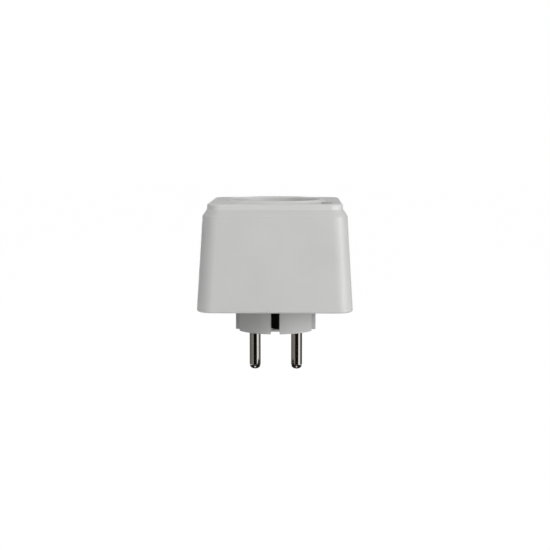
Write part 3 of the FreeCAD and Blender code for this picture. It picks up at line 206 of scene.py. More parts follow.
def take(piece):
    """Make one piece the only selected and active object."""
    deselect_all()
    piece.select_set(True)
    bpy.context.view_layer.objects.active = piece


def named(piece, name):
    piece.name = name
    piece.data.name = name
    return piece


def new_piece(name):
    """An empty mesh piece at the origin: a plane whose vertices are deleted."""
    deselect_all()
    bpy.ops.mesh.primitive_plane_add(size=MM)
    piece = named(bpy.context.object, name)
    bpy.ops.object.mode_set(mode="EDIT")
    bpy.ops.mesh.select_all(action="SELECT")
    bpy.ops.mesh.delete(type="VERT")
    return piece


def key(point):
    """A place as whole numbers, so that equal places compare as equal."""
    return tuple(round(value * KEY_SCALE) for value in point)


def pick(piece, mode, test):
    """Select the vertices, edges or faces that pass the test, and nothing else."""
    bpy.ops.mesh.select_mode(type=mode)
    bpy.ops.mesh.select_all(action="DESELECT")
    mesh = bmesh.from_edit_mesh(piece.data)
    items = {"VERT": mesh.verts, "EDGE": mesh.edges, "FACE": mesh.faces}[mode]
    for item in items:
        item.select = bool(test(item))
    mesh.select_flush_mode()
    bmesh.update_edit_mesh(piece.data)


def first_outline(piece, section, x, y):
    """Draw a rounded rectangle's loop: (size in X, size in Y, corner radius, height)."""
    size_x, size_y, corner, z = section
    bpy.ops.mesh.select_mode(type="VERT")
    bpy.ops.mesh.select_all(action="DESELECT")
    bpy.ops.mesh.primitive_plane_add(size=1.0, location=(x, y, z))
    bpy.ops.transform.resize(value=(size_x, size_y, 1), center_override=(x, y, z))
    bpy.ops.mesh.bevel(offset=corner, offset_type="OFFSET", segments=CORNER_STEPS, profile=0.5,
                       affect="VERTICES")
    loop = selected_numbers(piece)
    bpy.ops.mesh.delete(type="ONLY_FACE")
    pick(piece, "VERT", lambda vertex: vertex.index in loop)


def selected_numbers(piece):
    mesh = bmesh.from_edit_mesh(piece.data)
    mesh.verts.index_update()
    return {vertex.index for vertex in mesh.verts if vertex.select}


def next_outline(piece, before, after, x, y):
    """Extrude the selected loop to the next section, one corner at a time."""
    bpy.ops.mesh.extrude_region_move(TRANSFORM_OT_translate={"value": (0, 0, after[3] - before[3])})
    loop = selected_numbers(piece)
    grow = after[2] / before[2]
    mesh = bmesh.from_edit_mesh(piece.data)
    starts = {vertex.index: vertex.co.copy() for vertex in mesh.verts if vertex.select}
    for sx, sy in CORNERS:
        centre = (x + sx * (before[0] / 2 - before[2]), y + sy * (before[1] / 2 - before[2]), after[3])
        target = (x + sx * (after[0] / 2 - after[2]), y + sy * (after[1] / 2 - after[2]), after[3])
        chosen = {index for index, start in starts.items()
                  if (start.x - x) * sx > 0 and (start.y - y) * sy > 0}
        pick(piece, "VERT", lambda vertex: vertex.index in chosen)
        bpy.ops.transform.resize(value=(grow, grow, 1), center_override=centre)
        bpy.ops.transform.translate(value=Vector(target) - Vector(centre))
    pick(piece, "VERT", lambda vertex: vertex.index in loop)


def loop_places(piece):
    mesh = bmesh.from_edit_mesh(piece.data)
    return {key(vertex.co) for vertex in mesh.verts if vertex.select}


def loft(piece, sections, x=0.0, y=0.0):
    """Walls through the sections, in edit mode. Gives the places of each section's vertices."""
    first_outline(piece, sections[0], x, y)
    places = [loop_places(piece)]
    for before, after in zip(sections, sections[1:]):
        next_outline(piece, before, after, x, y)
        places.append(loop_places(piece))
    return places


def cap(piece, places):
    pick(piece, "VERT", lambda vertex: key(vertex.co) in places)
    bpy.ops.mesh.select_mode(type="EDGE")
    bpy.ops.mesh.edge_face_add()


def close_up(piece):
    """Merge doubles, turn all faces outwards and leave edit mode."""
    bpy.ops.mesh.select_mode(type="VERT")
    bpy.ops.mesh.select_all(action="SELECT")
    bpy.ops.mesh.remove_doubles(threshold=SAME_PLACE)
    bpy.ops.mesh.normals_make_consistent(inside=False)
    if bmesh.from_edit_mesh(piece.data).calc_volume(signed=True) < 0:
        bpy.ops.mesh.flip_normals()
    bpy.ops.object.mode_set(mode="OBJECT")
    return piece


def apply_modifier(piece, kind, **settings):
    take(piece)
    bpy.ops.object.modifier_add(type=kind)
    modifier = piece.modifiers[-1]
    for setting, value in settings.items():
        setattr(modifier, setting, value)
    bpy.ops.object.modifier_apply(modifier=modifier.name)


def combine(piece, tool, operation):
    """Cut the tool out of the piece, or melt it in, and delete the tool."""
    apply_modifier(piece, "BOOLEAN", object=tool, operation=operation, solver="EXACT")
    bpy.data.objects.remove(tool, do_unlink=True)


def soften(piece, width=0.0, steps=3, angle=38.0):
    """Round the sharp edges if a width is given, and shade the flats flat."""
    if width:
        apply_modifier(piece, "BEVEL", width=width, segments=steps, limit_method="ANGLE",
                       angle_limit=math.radians(angle), harden_normals=False)
    take(piece)
    bpy.ops.object.shade_smooth_by_angle(angle=math.radians(angle))
    apply_modifier(piece, "WEIGHTED_NORMAL", weight=100, keep_sharp=True)
    return piece


def box_piece(name, low, high, width=0.0, steps=3):
    """A box between two corners, with its edges rounded."""
    deselect_all()
    centre = (Vector(low) + Vector(high)) / 2
    size = Vector(high) - Vector(low)
    bpy.ops.mesh.primitive_cube_add(size=1.0, location=centre)
    piece = named(bpy.context.object, name)
    bpy.ops.object.mode_set(mode="EDIT")
    bpy.ops.mesh.select_all(action="SELECT")
    bpy.ops.transform.resize(value=size, center_override=centre)
    if width:
        bpy.ops.mesh.bevel(offset=width, offset_type="OFFSET", segments=steps, profile=0.5,
                           affect="EDGES")
    bpy.ops.object.mode_set(mode="OBJECT")
    rest_at_origin(piece)
    return piece


def rod_piece(name, radius, z_low, z_high, x=0.0, y=0.0, steps=ROUND_STEPS):
    deselect_all()
    bpy.ops.mesh.primitive_cylinder_add(vertices=steps, radius=radius, depth=z_high - z_low,
                                        location=(x, y, (z_low + z_high) / 2))
    piece = named(bpy.context.object, name)
    rest_at_origin(piece)
    return piece


def rest_at_origin(piece):
    """Put the piece's place into its mesh."""
    take(piece)
    bpy.ops.object.transform_apply(location=True, rotation=True, scale=True)


def draw_line(piece, points):
    """Draw an open line of vertices through the points, as one extruded vertex."""
    bpy.ops.mesh.select_mode(type="VERT")
    bpy.ops.mesh.select_all(action="DESELECT")
    bpy.ops.mesh.primitive_plane_add(size=MM, location=points[0])
    bpy.ops.mesh.merge(type="CENTER")
    for before, after in zip(points, points[1:]):
        step = Vector(after) - Vector(before)
        bpy.ops.mesh.extrude_vertices_move(TRANSFORM_OT_translate={"value": step})


def turned(name, profile, steps=ROUND_STEPS, x=0.0, y=0.0):
    """A body of revolution about a vertical line, from (radius, z) points on the axis at both ends."""
    piece = new_piece(name)
    draw_line(piece, [(radius + x, y, z) for radius, z in profile])
    bpy.ops.mesh.select_all(action="SELECT")
    bpy.ops.mesh.spin(steps=steps, angle=math.tau, center=(x, y, 0), axis=(0, 0, 1))
    return close_up(piece)


def arc(centre, radius, start, end, steps):
    """Points of a circular arc in a plane, angles in degrees."""
    points = []
    for index in range(steps + 1):
        angle = math.radians(start + (end - start) * index / steps)
        points.append((centre[0] + radius * math.cos(angle), centre[1] + radius * math.sin(angle)))
    return points


def tangent_arc(before, corner, after, radius):
    """Points of the arc that rounds the corner of a line in a plane."""
    corner = Vector(corner)
    into = (corner - Vector(before)).normalized()
    away = (Vector(after) - corner).normalized()
    turn = into.angle_signed(away)
    side = -1 if turn > 0 else 1
    start = corner - into * radius * math.tan(abs(turn) / 2)
    centre = start + Vector((-into.y, into.x)) * side * radius
    spoke = start - centre
    points = []
    for index in range(BEND_STEPS + 1):
        angle = side * abs(turn) * index / BEND_STEPS
        points.append(centre + Vector((spoke.x * math.cos(angle) - spoke.y * math.sin(angle),
                                       spoke.x * math.sin(angle) + spoke.y * math.cos(angle))))
    return points


def joined(name, pieces):
    take(pieces[0])
    for piece in pieces[1:]:
        piece.select_set(True)
    bpy.ops.object.join()
    return named(bpy.context.object, name)


# ---- Finishes -------------------------------------------------------------------------------------
CLOUDS = 0.02
GRAIN_SPREAD = 0.04
PLASTIC_SPECULAR = 0.4
TARNISH = 0.06
LINE_DEPTH = 0.0000004


def new_finish(name):
    material = bpy.data.materials.new(name)
    material.use_nodes = True
    tree = material.node_tree
    shader = tree.nodes["Principled BSDF"]
    place = tree.nodes.new("ShaderNodeTexCoord")
    return material, tree, shader, place


def noise(tree, place, scale, detail=2.0, stretch=None):
    texture = tree.nodes.new("ShaderNodeTexNoise")
    texture.inputs["Scale"].default_value = scale
    texture.inputs["Detail"].default_value = detail
    source = place.outputs["Object"]
    if stretch:
        mapping = tree.nodes.new("ShaderNodeMapping")
        mapping.inputs["Scale"].default_value = stretch
        tree.links.new(source, mapping.inputs["Vector"])
        source = mapping.outputs["Vector"]
    tree.links.new(source, texture.inputs["Vector"])
    return texture.outputs["Fac"]


def spread(tree, value, low, high):
    """Map a noise value to a narrow range."""
    node = tree.nodes.new("ShaderNodeMapRange")
    node.inputs["From Min"].default_value = 0.3
    node.inputs["From Max"].default_value = 0.7
    node.inputs["To Min"].default_value = low
    node.inputs["To Max"].default_value = high
    tree.links.new(value, node.inputs["Value"])
    return node.outputs["Result"]


def two_tones(tree, value, dark, light):
    ramp = tree.nodes.new("ShaderNodeValToRGB")
    ramp.color_ramp.elements[0].position = 0.35
    ramp.color_ramp.elements[0].color = (*dark, 1)
    ramp.color_ramp.elements[1].position = 0.65
    ramp.color_ramp.elements[1].color = (*light, 1)
    tree.links.new(value, ramp.inputs["Fac"])
    return ramp.outputs["Color"]


def bumped(tree, shader, value, strength, depth):
    bump = tree.nodes.new("ShaderNodeBump")
    bump.inputs["Strength"].default_value = strength
    bump.inputs["Distance"].default_value = depth
    tree.links.new(value, bump.inputs["Height"])
    tree.links.new(bump.outputs["Normal"], shader.inputs["Normal"])


def shade_of(colour, factor):
    return tuple(min(1.0, channel * factor) for channel in colour)


def moulded_plastic(name, colour, roughness=0.4, grain=2600.0, depth=0.00001):
    """Satin injection moulding: faint clouds of colour and a fine eroded grain."""
    material, tree, shader, place = new_finish(name)
    clouding = noise(tree, place, 45.0, 3.0)
    colour_out = two_tones(tree, clouding, shade_of(colour, 1 - CLOUDS), shade_of(colour, 1 + CLOUDS))
    tree.links.new(colour_out, shader.inputs["Base Color"])
    fine = noise(tree, place, grain, 3.0)
    rough = spread(tree, fine, roughness - GRAIN_SPREAD, roughness + GRAIN_SPREAD)
    tree.links.new(rough, shader.inputs["Roughness"])
    shader.inputs["Specular IOR Level"].default_value = PLASTIC_SPECULAR
    bumped(tree, shader, fine, 0.35, depth)
    return material


def plated_metal(name, colour, roughness=0.05, stretch=(1.0, 1.0, 0.08), scale=1200.0):
    """Plated or stamped metal with fine drawn lines and a little tarnish."""
    material, tree, shader, place = new_finish(name)
    shader.inputs["Metallic"].default_value = 1.0
    tarnish = noise(tree, place, 220.0, 4.0)
    colour_out = two_tones(tree, tarnish, shade_of(colour, 1 - TARNISH), colour)
    tree.links.new(colour_out, shader.inputs["Base Color"])
    lines = noise(tree, place, scale, 2.0, stretch)
    tree.links.new(spread(tree, lines, roughness * 0.8, roughness * 1.25),
                   shader.inputs["Roughness"])
    bumped(tree, shader, lines, 0.25, LINE_DEPTH)
    return material


def circuit_board(name):
    """Solder mask over a grid of paler, slightly raised tracks."""
    material, tree, shader, place = new_finish(name)
    tracks = tree.nodes.new("ShaderNodeTexBrick")
    tracks.inputs["Scale"].default_value = 260.0
    tracks.inputs["Color1"].default_value = (0.012, 0.10, 0.035, 1)
    tracks.inputs["Color2"].default_value = (0.02, 0.15, 0.05, 1)
    tracks.inputs["Mortar"].default_value = (0.03, 0.22, 0.08, 1)
    tracks.inputs["Mortar Size"].default_value = 0.06
    tree.links.new(place.outputs["Object"], tracks.inputs["Vector"])
    tree.links.new(tracks.outputs["Color"], shader.inputs["Base Color"])
    tree.links.new(spread(tree, noise(tree, place, 900.0), 0.25, 0.4), shader.inputs["Roughness"])
    bumped(tree, shader, tracks.outputs["Fac"], 0.4, 0.00003)
    return material


def wound_core(name):
    """Dark ferrite with rings of copper wire."""
    material, tree, shader, place = new_finish(name)
    wire = tree.nodes.new("ShaderNodeTexWave")
    wire.bands_direction = "Z"
    wire.inputs["Scale"].default_value = 420.0
    wire.inputs["Distortion"].default_value = 0.4
    tree.links.new(place.outputs["Object"], wire.inputs["Vector"])
    colour_out = two_tones(tree, wire.outputs["Fac"], (0.05, 0.03, 0.02), (0.45, 0.20, 0.09))
    tree.links.new(colour_out, shader.inputs["Base Color"])
    tree.links.new(spread(tree, noise(tree, place, 800.0), 0.3, 0.5), shader.inputs["Roughness"])
    bumped(tree, shader, wire.outputs["Fac"], 0.5, 0.00008)
    return material


FINISHES = {
    "housing_plastic": moulded_plastic("housing_plastic", (0.60, 0.60, 0.595)),
    # Darker copy of the housing plastic: painted shade for the shade that the housing casts on the rear
    # cover and plug boss
    "housing_plastic_rear": moulded_plastic("housing_plastic_rear", (0.50, 0.50, 0.495), 0.48),
    # Lighter copy of the housing plastic: painted light for the brighter light on the raised plate's tilted
    # sides
    "plate_plastic": moulded_plastic("plate_plastic", (0.66, 0.66, 0.655), 0.38),
    "button_plastic": moulded_plastic("button_plastic", (0.34, 0.34, 0.34), 0.4),
    "carrier_plastic": moulded_plastic("carrier_plastic", (0.50, 0.48, 0.42), 0.5),
    "shutter_plastic": moulded_plastic("shutter_plastic", (0.66, 0.66, 0.65), 0.45),
    "nickel": plated_metal("nickel", (0.66, 0.63, 0.59)),
    "contact_brass": plated_metal("contact_brass", (0.74, 0.53, 0.24), 0.25),
    "screw_steel": plated_metal("screw_steel", (0.55, 0.55, 0.54), 0.3, (1.0, 1.0, 1.0), 900.0),
    "board_laminate": circuit_board("board_laminate"),
    "relay_case": moulded_plastic("relay_case", (0.03, 0.10, 0.32), 0.3, 1500.0),
    "capacitor_case": moulded_plastic("capacitor_case", (0.62, 0.46, 0.08), 0.3, 900.0),
    "capacitor_sleeve": moulded_plastic("capacitor_sleeve", (0.03, 0.03, 0.04), 0.3, 1200.0),
    "inductor_core": wound_core("inductor_core"),
    "varistor_coat": moulded_plastic("varistor_coat", (0.04, 0.15, 0.42), 0.28, 700.0, 0.00003),
    "resistor_coat": moulded_plastic("resistor_coat", (0.12, 0.33, 0.18), 0.4, 900.0, 0.00002),
    "shunt_alloy": plated_metal("shunt_alloy", (0.50, 0.42, 0.34), 0.35),
    "chip_body": moulded_plastic("chip_body", (0.03, 0.03, 0.03), 0.5, 3500.0),
    "shield_tin": plated_metal("shield_tin", (0.62, 0.62, 0.60), 0.3),
    "led_lens": moulded_plastic("led_lens", (0.80, 0.80, 0.70), 0.2, 600.0),
    "ribbon_insulation": moulded_plastic("ribbon_insulation", (0.42, 0.42, 0.42), 0.45, 1200.0),
}


def dress(piece, slot, body, *nodes):
    """Give a finished piece its material and its body, and hide the nodes that it stands for."""
    piece.data.materials.clear()
    piece.data.materials.append(FINISHES[slot])
    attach(piece, body)
    if nodes:
        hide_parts(*nodes)


def dress_nodes():
    """Every node carried over from the frame takes the finish of its own slot."""
    slots = {entry["node"]: entry["material_slot"] for entry in frame["record"]["subparts"]}
    for node, carried in frame["nodes"].items():
        finish = FINISHES[slots[node]]
        if not carried.material_slots:
            carried.data.materials.append(finish)
        for slot in carried.material_slots:
            slot.material = finish


# ---- Housing ---------------------------------------------------------------------------------------
def squares(rows):
    """Sections of square outlines from (width, corner radius, height) rows."""
    return [(width, width, corner, z) for width, corner, z in rows]


def rounded_rows(rows, rounds):
    """The rows, with an arc in place of each row that has a radius in rounds."""
    result = []
    sides = [(width / 2, z) for width, corner, z in rows]
    for index, row in enumerate(rows):
        if index not in rounds:
            result.append(row)
            continue
        here = sides[index]
        for point in tangent_arc(sides[index - 1], here, sides[index + 1], rounds[index]):
            result.append((2 * point.x, row[1] + point.x - here[0], point.y))
    return result


def width_at(z):
    return BASE_WIDTH - 2 * TAPER * (z - Z_WALL)


def outer_shell():
    """The tapered cup with its sloped shoulder, its wall and the opening for the plate."""
    piece = new_piece("outer_shell")
    inner = BASE_CORNER - WALL
    z_turn = Z_SHOULDER - TURN_SHARE * WALL
    rim = (BASE_WIDTH - 2 * WALL, inner, Z_WALL)
    rows = [
        rim,
        (BASE_WIDTH, BASE_CORNER, Z_WALL),
        (SHOULDER_WIDTH, BASE_CORNER, Z_SHOULDER),
        (FOOT_WIDTH, FOOT_CORNER, Z_LEDGE),
        (OPENING_WIDTH, inner, Z_LEDGE),
        (OPENING_WIDTH, inner, Z_LEDGE - OPENING_EDGE),
        (OPENING_WIDTH + 2 * SNAP_ROOM, inner, Z_LEDGE - WALL),
        (width_at(z_turn) - 2 * WALL, inner, z_turn),
        rim,
    ]
    loft(piece, squares(rounded_rows(rows, {1: BASE_ROUND, 2: SHOULDER_ROUND})))
    close_up(piece)
    return soften(piece, angle=SHARP_ANGLE)


def ring_line():
    """Section of the raised ring: plate, concave foot, slope, crest and lip, down to the well."""
    crest = WELL_RADIUS + LIP_RADIUS
    slope_centre = (crest, Z_CREST - SLOPE_RADIUS)
    foot_height = Z_PLATE + RING_FOOT_RADIUS
    reach = SLOPE_RADIUS + RING_FOOT_RADIUS
    drop = foot_height - slope_centre[1]
    foot_x = crest + math.sqrt(reach ** 2 - drop ** 2)
    lean = math.degrees(math.atan2(drop, foot_x - crest))
    foot = arc((foot_x, foot_height), RING_FOOT_RADIUS, -90, lean - 180, 6)
    slope = arc(slope_centre, SLOPE_RADIUS, lean, 90, 8)
    lip = arc((crest, Z_CREST - LIP_RADIUS), LIP_RADIUS, 90, 180, 8)
    return foot, foot + slope[1:] + lip[1:]


def socket_plate():
    """Raised plate, soft ring, socket well with its guide noses, and the skirt underneath."""
    foot, ring = ring_line()
    well_outer = WELL_RADIUS + WELL_WALL
    z_floor_under = Z_FLOOR - FLOOR_THICKNESS
    piece = new_piece("socket_plate")
    floor_round = arc((WELL_RADIUS - FLOOR_ROUND, Z_FLOOR + FLOOR_ROUND), FLOOR_ROUND, 0, -90, 4)
    inside = ring + floor_round + [(0.0, Z_FLOOR)]
    draw_line(piece, [(radius, 0, z) for radius, z in inside])
    bpy.ops.mesh.select_linked()
    bpy.ops.mesh.spin(steps=ROUND_STEPS, angle=math.tau, center=(0, 0, 0), axis=(0, 0, 1))
    under = [(well_outer, Z_UNDER), (well_outer, z_floor_under), (0.0, z_floor_under)]
    draw_line(piece, [(radius, 0, z) for radius, z in under])
    bpy.ops.mesh.select_linked()
    bpy.ops.mesh.spin(steps=ROUND_STEPS, angle=math.tau, center=(0, 0, 0), axis=(0, 0, 1))
    bpy.ops.mesh.select_all(action="SELECT")
    bpy.ops.mesh.remove_doubles(threshold=1e-7)

    skirt = OPENING_WIDTH - 2 * SKIRT_GAP
    pocket = skirt - 2 * SKIRT_WALL
    skirt_corner = BASE_CORNER - WALL - SKIRT_GAP
    rows = rounded_rows([
        (2 * foot[0][0], foot[0][0], Z_PLATE),
        (PLATE_WIDTH, FOOT_CORNER, Z_PLATE),
        (FOOT_WIDTH, FOOT_CORNER, Z_LEDGE),
        (skirt, skirt_corner, Z_LEDGE),
        (skirt, skirt_corner, Z_LEDGE - SKIRT_HEIGHT),
        (pocket, skirt_corner - SKIRT_WALL, Z_LEDGE - SKIRT_HEIGHT),
        (pocket, skirt_corner - SKIRT_WALL, Z_UNDER),
        (2 * well_outer, well_outer, Z_UNDER),
    ], {1: PLATE_ROUND})
    loft(piece, squares([rows[1], rows[0]]))
    loft(piece, squares(rows[1:]))
    close_up(piece)

    # Openings: pin holes, earth clips and the button; then the two guide noses
    for side in SIDES:
        x = side * PIN_PITCH / 2
        hole = turned("pin_hole", [
            (0.0, z_floor_under - MM),
            (PIN_HOLE_RADIUS, z_floor_under - MM),
            (PIN_HOLE_RADIUS, Z_FLOOR - PIN_HOLE_CHAMFER),
            (PIN_HOLE_RADIUS + PIN_HOLE_CHAMFER, Z_FLOOR),
            (PIN_HOLE_RADIUS + PIN_HOLE_CHAMFER, Z_FLOOR + MM),
            (0.0, Z_FLOOR + MM),
        ], 48, x)
        combine(piece, hole, "DIFFERENCE")
        y_in = side * (clip_high.y - STRIP - CLIP_SLOT_ROOM)
        y_out = side * (clip_high.y + CLIP_SLOT_BACK)
        half = clip_high.x + CLIP_SLOT_ROOM
        slot = box_piece("clip_slot", (-half, min(y_in, y_out), z_floor_under - MM),
                         (half, max(y_in, y_out), Z_FLOOR + MM))
        combine(piece, slot, "DIFFERENCE")
        reach = sorted((side * NOSE_REACH, side * (WELL_RADIUS + WELL_WALL / 2)))
        nose = box_piece("nose", (reach[0], -NOSE_WIDTH / 2, Z_FLOOR - MM),
                         (reach[1], NOSE_WIDTH / 2, Z_PLATE - NOSE_DROP), NOSE_ROUND, 4)
        combine(piece, nose, "UNION")
    combine(piece, button_opening(), "DIFFERENCE")
    return soften(piece, angle=SHARP_ANGLE)


def rounded_block(name, size_x, size_y, corner, z_low, z_high, x=0.0, y=0.0, top_round=0.0):
    """An upright block with round corners, and with a rounded top edge if a radius is given."""
    piece = new_piece(name)
    sections = [(size_x, size_y, corner, z_low), (size_x, size_y, corner, z_high)]
    if top_round:
        sections.pop()
        for reach, z in arc((-top_round, z_high - top_round), top_round, 0, 90, 4):
            sections.append((size_x + 2 * reach, size_y + 2 * reach, corner + reach, z))
    places = loft(piece, sections, x, y)
    cap(piece, places[0])
    cap(piece, places[-1])
    return close_up(piece)


def button_opening():
    return rounded_block("button_opening", BUTTON_WIDTH + 2 * BUTTON_GAP,
                         BUTTON_LENGTH + 2 * BUTTON_GAP, BUTTON_CORNER + BUTTON_GAP,
                         Z_UNDER - MM, Z_PLATE + MM, BUTTON_CENTRE.x, BUTTON_CENTRE.y)


def push_button():
    """Cap with a flange that keeps it under the plate, and the stem to the switch."""
    centre = BUTTON_CENTRE
    z_flange_top = Z_UNDER - FLANGE_DROP
    z_flange = z_flange_top - FLANGE_THICKNESS
    cap_block = rounded_block("push_button", BUTTON_WIDTH, BUTTON_LENGTH, BUTTON_CORNER,
                              z_flange_top, button_high.z, centre.x, centre.y, BUTTON_ROUND)
    flange = rounded_block("flange", BUTTON_WIDTH + 2 * BUTTON_FLANGE,
                           BUTTON_LENGTH + 2 * BUTTON_FLANGE, BUTTON_CORNER + BUTTON_FLANGE,
                           z_flange, z_flange_top, centre.x, centre.y)
    stem = rod_piece("stem", STEM_RADIUS, button_low.z, z_flange + STEM_OVERLAP,
                     PLUNGER_CENTRE.x, PLUNGER_CENTRE.y, 32)
    piece = joined("push_button", [cap_block, flange, stem])
    return soften(piece, angle=SHARP_ANGLE)


# ---- Wall side: cover, plug boss, pins and earth strips ----------------------------------------------
def plug_cover():
    """Rear cover with the plug boss: side flats, guide ribs, earth channels and pin bores."""
    z_top = Z_WALL + COVER_THICKNESS
    corner = BASE_CORNER - WALL
    cover = rounded_block("plug_cover", COVER_WIDTH, COVER_WIDTH, corner, Z_WALL, z_top)
    boss = rod_piece("boss", PLUG_RADIUS, 0.0, Z_WALL + MM, steps=128)
    take(boss)
    bpy.ops.object.mode_set(mode="EDIT")
    for side in SIDES:
        bpy.ops.mesh.select_all(action="SELECT")
        bpy.ops.mesh.bisect(plane_co=(side * PLUG_FLAT, 0, 0), plane_no=(side, 0, 0),
                            use_fill=True, clear_outer=True)
    bpy.ops.object.mode_set(mode="OBJECT")
    for side in SIDES:
        for hand in SIDES:
            reach = sorted((side * (PLUG_FLAT - MM), side * RIB_REACH))
            span = sorted((hand * GUIDE_CHANNEL / 2, hand * (GUIDE_CHANNEL / 2 + RIB_THICKNESS)))
            rib = box_piece("rib", (reach[0], span[0], 0.0), (reach[1], span[1], Z_WALL + 0.5 * MM))
            combine(boss, rib, "UNION")
    combine(cover, boss, "UNION")

    half = CHANNEL_WIDTH / 2
    for side in SIDES:
        floor = side * (PLUG_RADIUS - CHANNEL_DEPTH)
        mouth = side * (PLUG_RADIUS + MM)
        channel = box_piece("channel", (-half, min(floor, mouth), -MM),
                            (half, max(floor, mouth), Z_WALL))
        combine(cover, channel, "DIFFERENCE")
        bore = rod_piece("bore", COLLAR_RADIUS + COLLAR_GAP, -MM, COLLAR_HEIGHT,
                         side * PIN_PITCH / 2, steps=64)
        combine(cover, bore, "DIFFERENCE")
    notch = box_piece("notch", (-half, -PLUG_RADIUS + MM, -MM),
                      (half, -PLUG_RADIUS + NOTCH_DEPTH, NOTCH_HEIGHT))
    combine(cover, notch, "DIFFERENCE")
    earth_hole = rod_piece("earth_hole", PIN_HOLE_RADIUS, -MM, Z_WALL, 0.0, EARTH_HOLE_OFFSET, 64)
    combine(cover, earth_hole, "DIFFERENCE")
    for x, y in SCREW_PLACES:
        seat = rod_piece("seat", SEAT_RADIUS, Z_WALL - MM, Z_WALL + SEAT_DEPTH, x, y, 48)
        combine(cover, seat, "DIFFERENCE")
        hole = rod_piece("hole", SCREW_HOLE_RADIUS, Z_WALL - MM, z_top + MM, x, y, 32)
        combine(cover, hole, "DIFFERENCE")
    return soften(cover, 0.14 * MM, 2)


def plug_pin(name, side):
    """Round pin with a rounded tip, a collar in the face, and a thinner shank up into the housing."""
    flat = PIN_RADIUS - PIN_TIP_ROUND
    tip = arc((flat, pin_low.z + PIN_TIP_ROUND), PIN_TIP_ROUND, -90, 0, 10)
    profile = [(0.0, pin_low.z)] + tip + [
        (PIN_RADIUS, pin_low.z + PIN_TIP_ROUND + TIP_RING),
        (PIN_RADIUS, 0.0),
        (COLLAR_RADIUS, 0.0),
        (COLLAR_RADIUS, COLLAR_HEIGHT),
        (SHANK_RADIUS, COLLAR_HEIGHT),
        (SHANK_RADIUS, SHANK_TOP),
        (SPIGOT_RADIUS, SHANK_TOP),
        (SPIGOT_RADIUS, pin_high.z),
        (0.0, pin_high.z),
    ]
    piece = turned(name, profile, 96, side * PIN_PITCH / 2)
    return soften(piece, angle=40.0)


def bent_points(path, bend):
    """Points along a bent line in the YZ plane: runs joined by tangent arcs."""
    points = [Vector(path[0])]
    for before, corner, after in zip(path, path[1:], path[2:]):
        points += tangent_arc(before, corner, after, bend)
    points.append(Vector(path[-1]))
    return points


def bent_strip(name, path, bend, width):
    """A metal strip bent in the YZ plane about X = 0, with softly rounded edges."""
    piece = new_piece(name)
    draw_line(piece, [(-width / 2, y, z) for y, z in bent_points(path, bend)])
    bpy.ops.mesh.select_all(action="SELECT")
    bpy.ops.mesh.extrude_region_move(TRANSFORM_OT_translate={"value": (width, 0, 0)})
    close_up(piece)
    apply_modifier(piece, "SOLIDIFY", thickness=STRIP, offset=0.0, use_even_offset=True)
    return piece


def plug_earth_strip():
    """Earth contact of the plug: a bridge, two side blades and their turned-up ends."""
    reach = strap_high.y - STRIP / 2
    foot = strap_low.z + STRIP / 2
    bridge_z = strap_high.z - STRIP / 2
    hook = reach - 2 * STRIP_BEND - BEND_ROOM
    half = [(hook, foot + HOOK_RISE), (hook, foot), (reach, foot), (reach, bridge_z)]
    path = [(-y, z) for y, z in half] + half[::-1]
    piece = bent_strip("plug_earth_strip", path, STRIP_BEND, strap_high.x - strap_low.x)
    return soften(piece, 0.12 * MM, 2, 50.0)


def socket_earth_strip():
    """Earth clips of the well: a bridge under the floor, two blades and their sprung tongues."""
    reach = clip_high.y - STRIP / 2
    top = Z_PLATE - CLIP_TOP_DROP
    z_bridge = clip_low.z + STRIP / 2
    half = [
        (reach - CLIP_LEAN, top),
        (reach - CLIP_BULGE, top - CLIP_BULGE_DROP),
        (reach, top - CLIP_FOOT_DROP),
        (reach, z_bridge),
    ]
    path = [(-y, z) for y, z in half] + half[::-1]
    piece = bent_strip("socket_earth_strip", path, STRIP_BEND, clip_high.x - clip_low.x)
    tongue = CHANNEL_WIDTH / 2 - TONGUE_INSET
    for side in SIDES:
        x = sorted((side * tongue, side * TONGUE_WASTE))
        waste = box_piece("waste", (x[0], -WELL_RADIUS, Z_FLOOR + TONGUE_FOOT),
                          (x[1], WELL_RADIUS, Z_CREST))
        combine(piece, waste, "DIFFERENCE")
    return soften(piece, 0.1 * MM, 2, 50.0)


def cover_screws():
    """Four pan-head screws with a cross recess, heads towards the wall."""
    z_head = screws_low.z
    z_tip = screws_high.z
    rim = arc((HEAD_RADIUS - HEAD_ROUND, z_head + HEAD_ROUND), HEAD_ROUND, -90, 0, 5)
    profile = [(0.0, z_head)] + rim + [
        (HEAD_RADIUS, z_head + HEAD_HEIGHT),
        (SCREW_RADIUS, z_head + HEAD_HEIGHT),
        (SCREW_RADIUS, z_tip - SCREW_TIP_LENGTH),
        (SCREW_TIP_RADIUS, z_tip),
        (0.0, z_tip),
    ]
    copies = []
    for x, y in SCREW_PLACES:
        screw = turned("cover_screw", profile, 48, x, y)
        for half_x, half_y in ((RECESS_LONG, RECESS_SHORT), (RECESS_SHORT, RECESS_LONG)):
            low = (x - half_x, y - half_y, z_head - MM)
            high = (x + half_x, y + half_y, z_head + RECESS_DEPTH)
            combine(screw, box_piece("recess", low, high), "DIFFERENCE")
        copies.append(screw)
    return soften(joined("cover_screws", copies), angle=35.0)


# ---- The studio -----------------------------------------------------------------------------------------
VIEW_DISTANCE = 0.5147
VIEW_PITCH = math.radians(7.025)
VIEW_TURN = math.radians(1.05)
VIEW_AIM = Vector((-0.40 * MM, -0.018 * MM, 24.21 * MM))
VIEW_LENS = 73.98
FLOOR_DROP = 0.14
FLOOR_RADIUS = 6.0
WORLD_LOW = 0.64                # the world's light at the horizon and at the top
WORLD_HIGH = 0.04
LAMP_AIM = Vector((0, 0, 0.03))
FLAG_STEP = 6                   # degrees of a curved flag per straight stretch
SPOT_HALF = 0.7 * MM
SPOT_SPAN = (-4.7 * MM, -2.4 * MM)


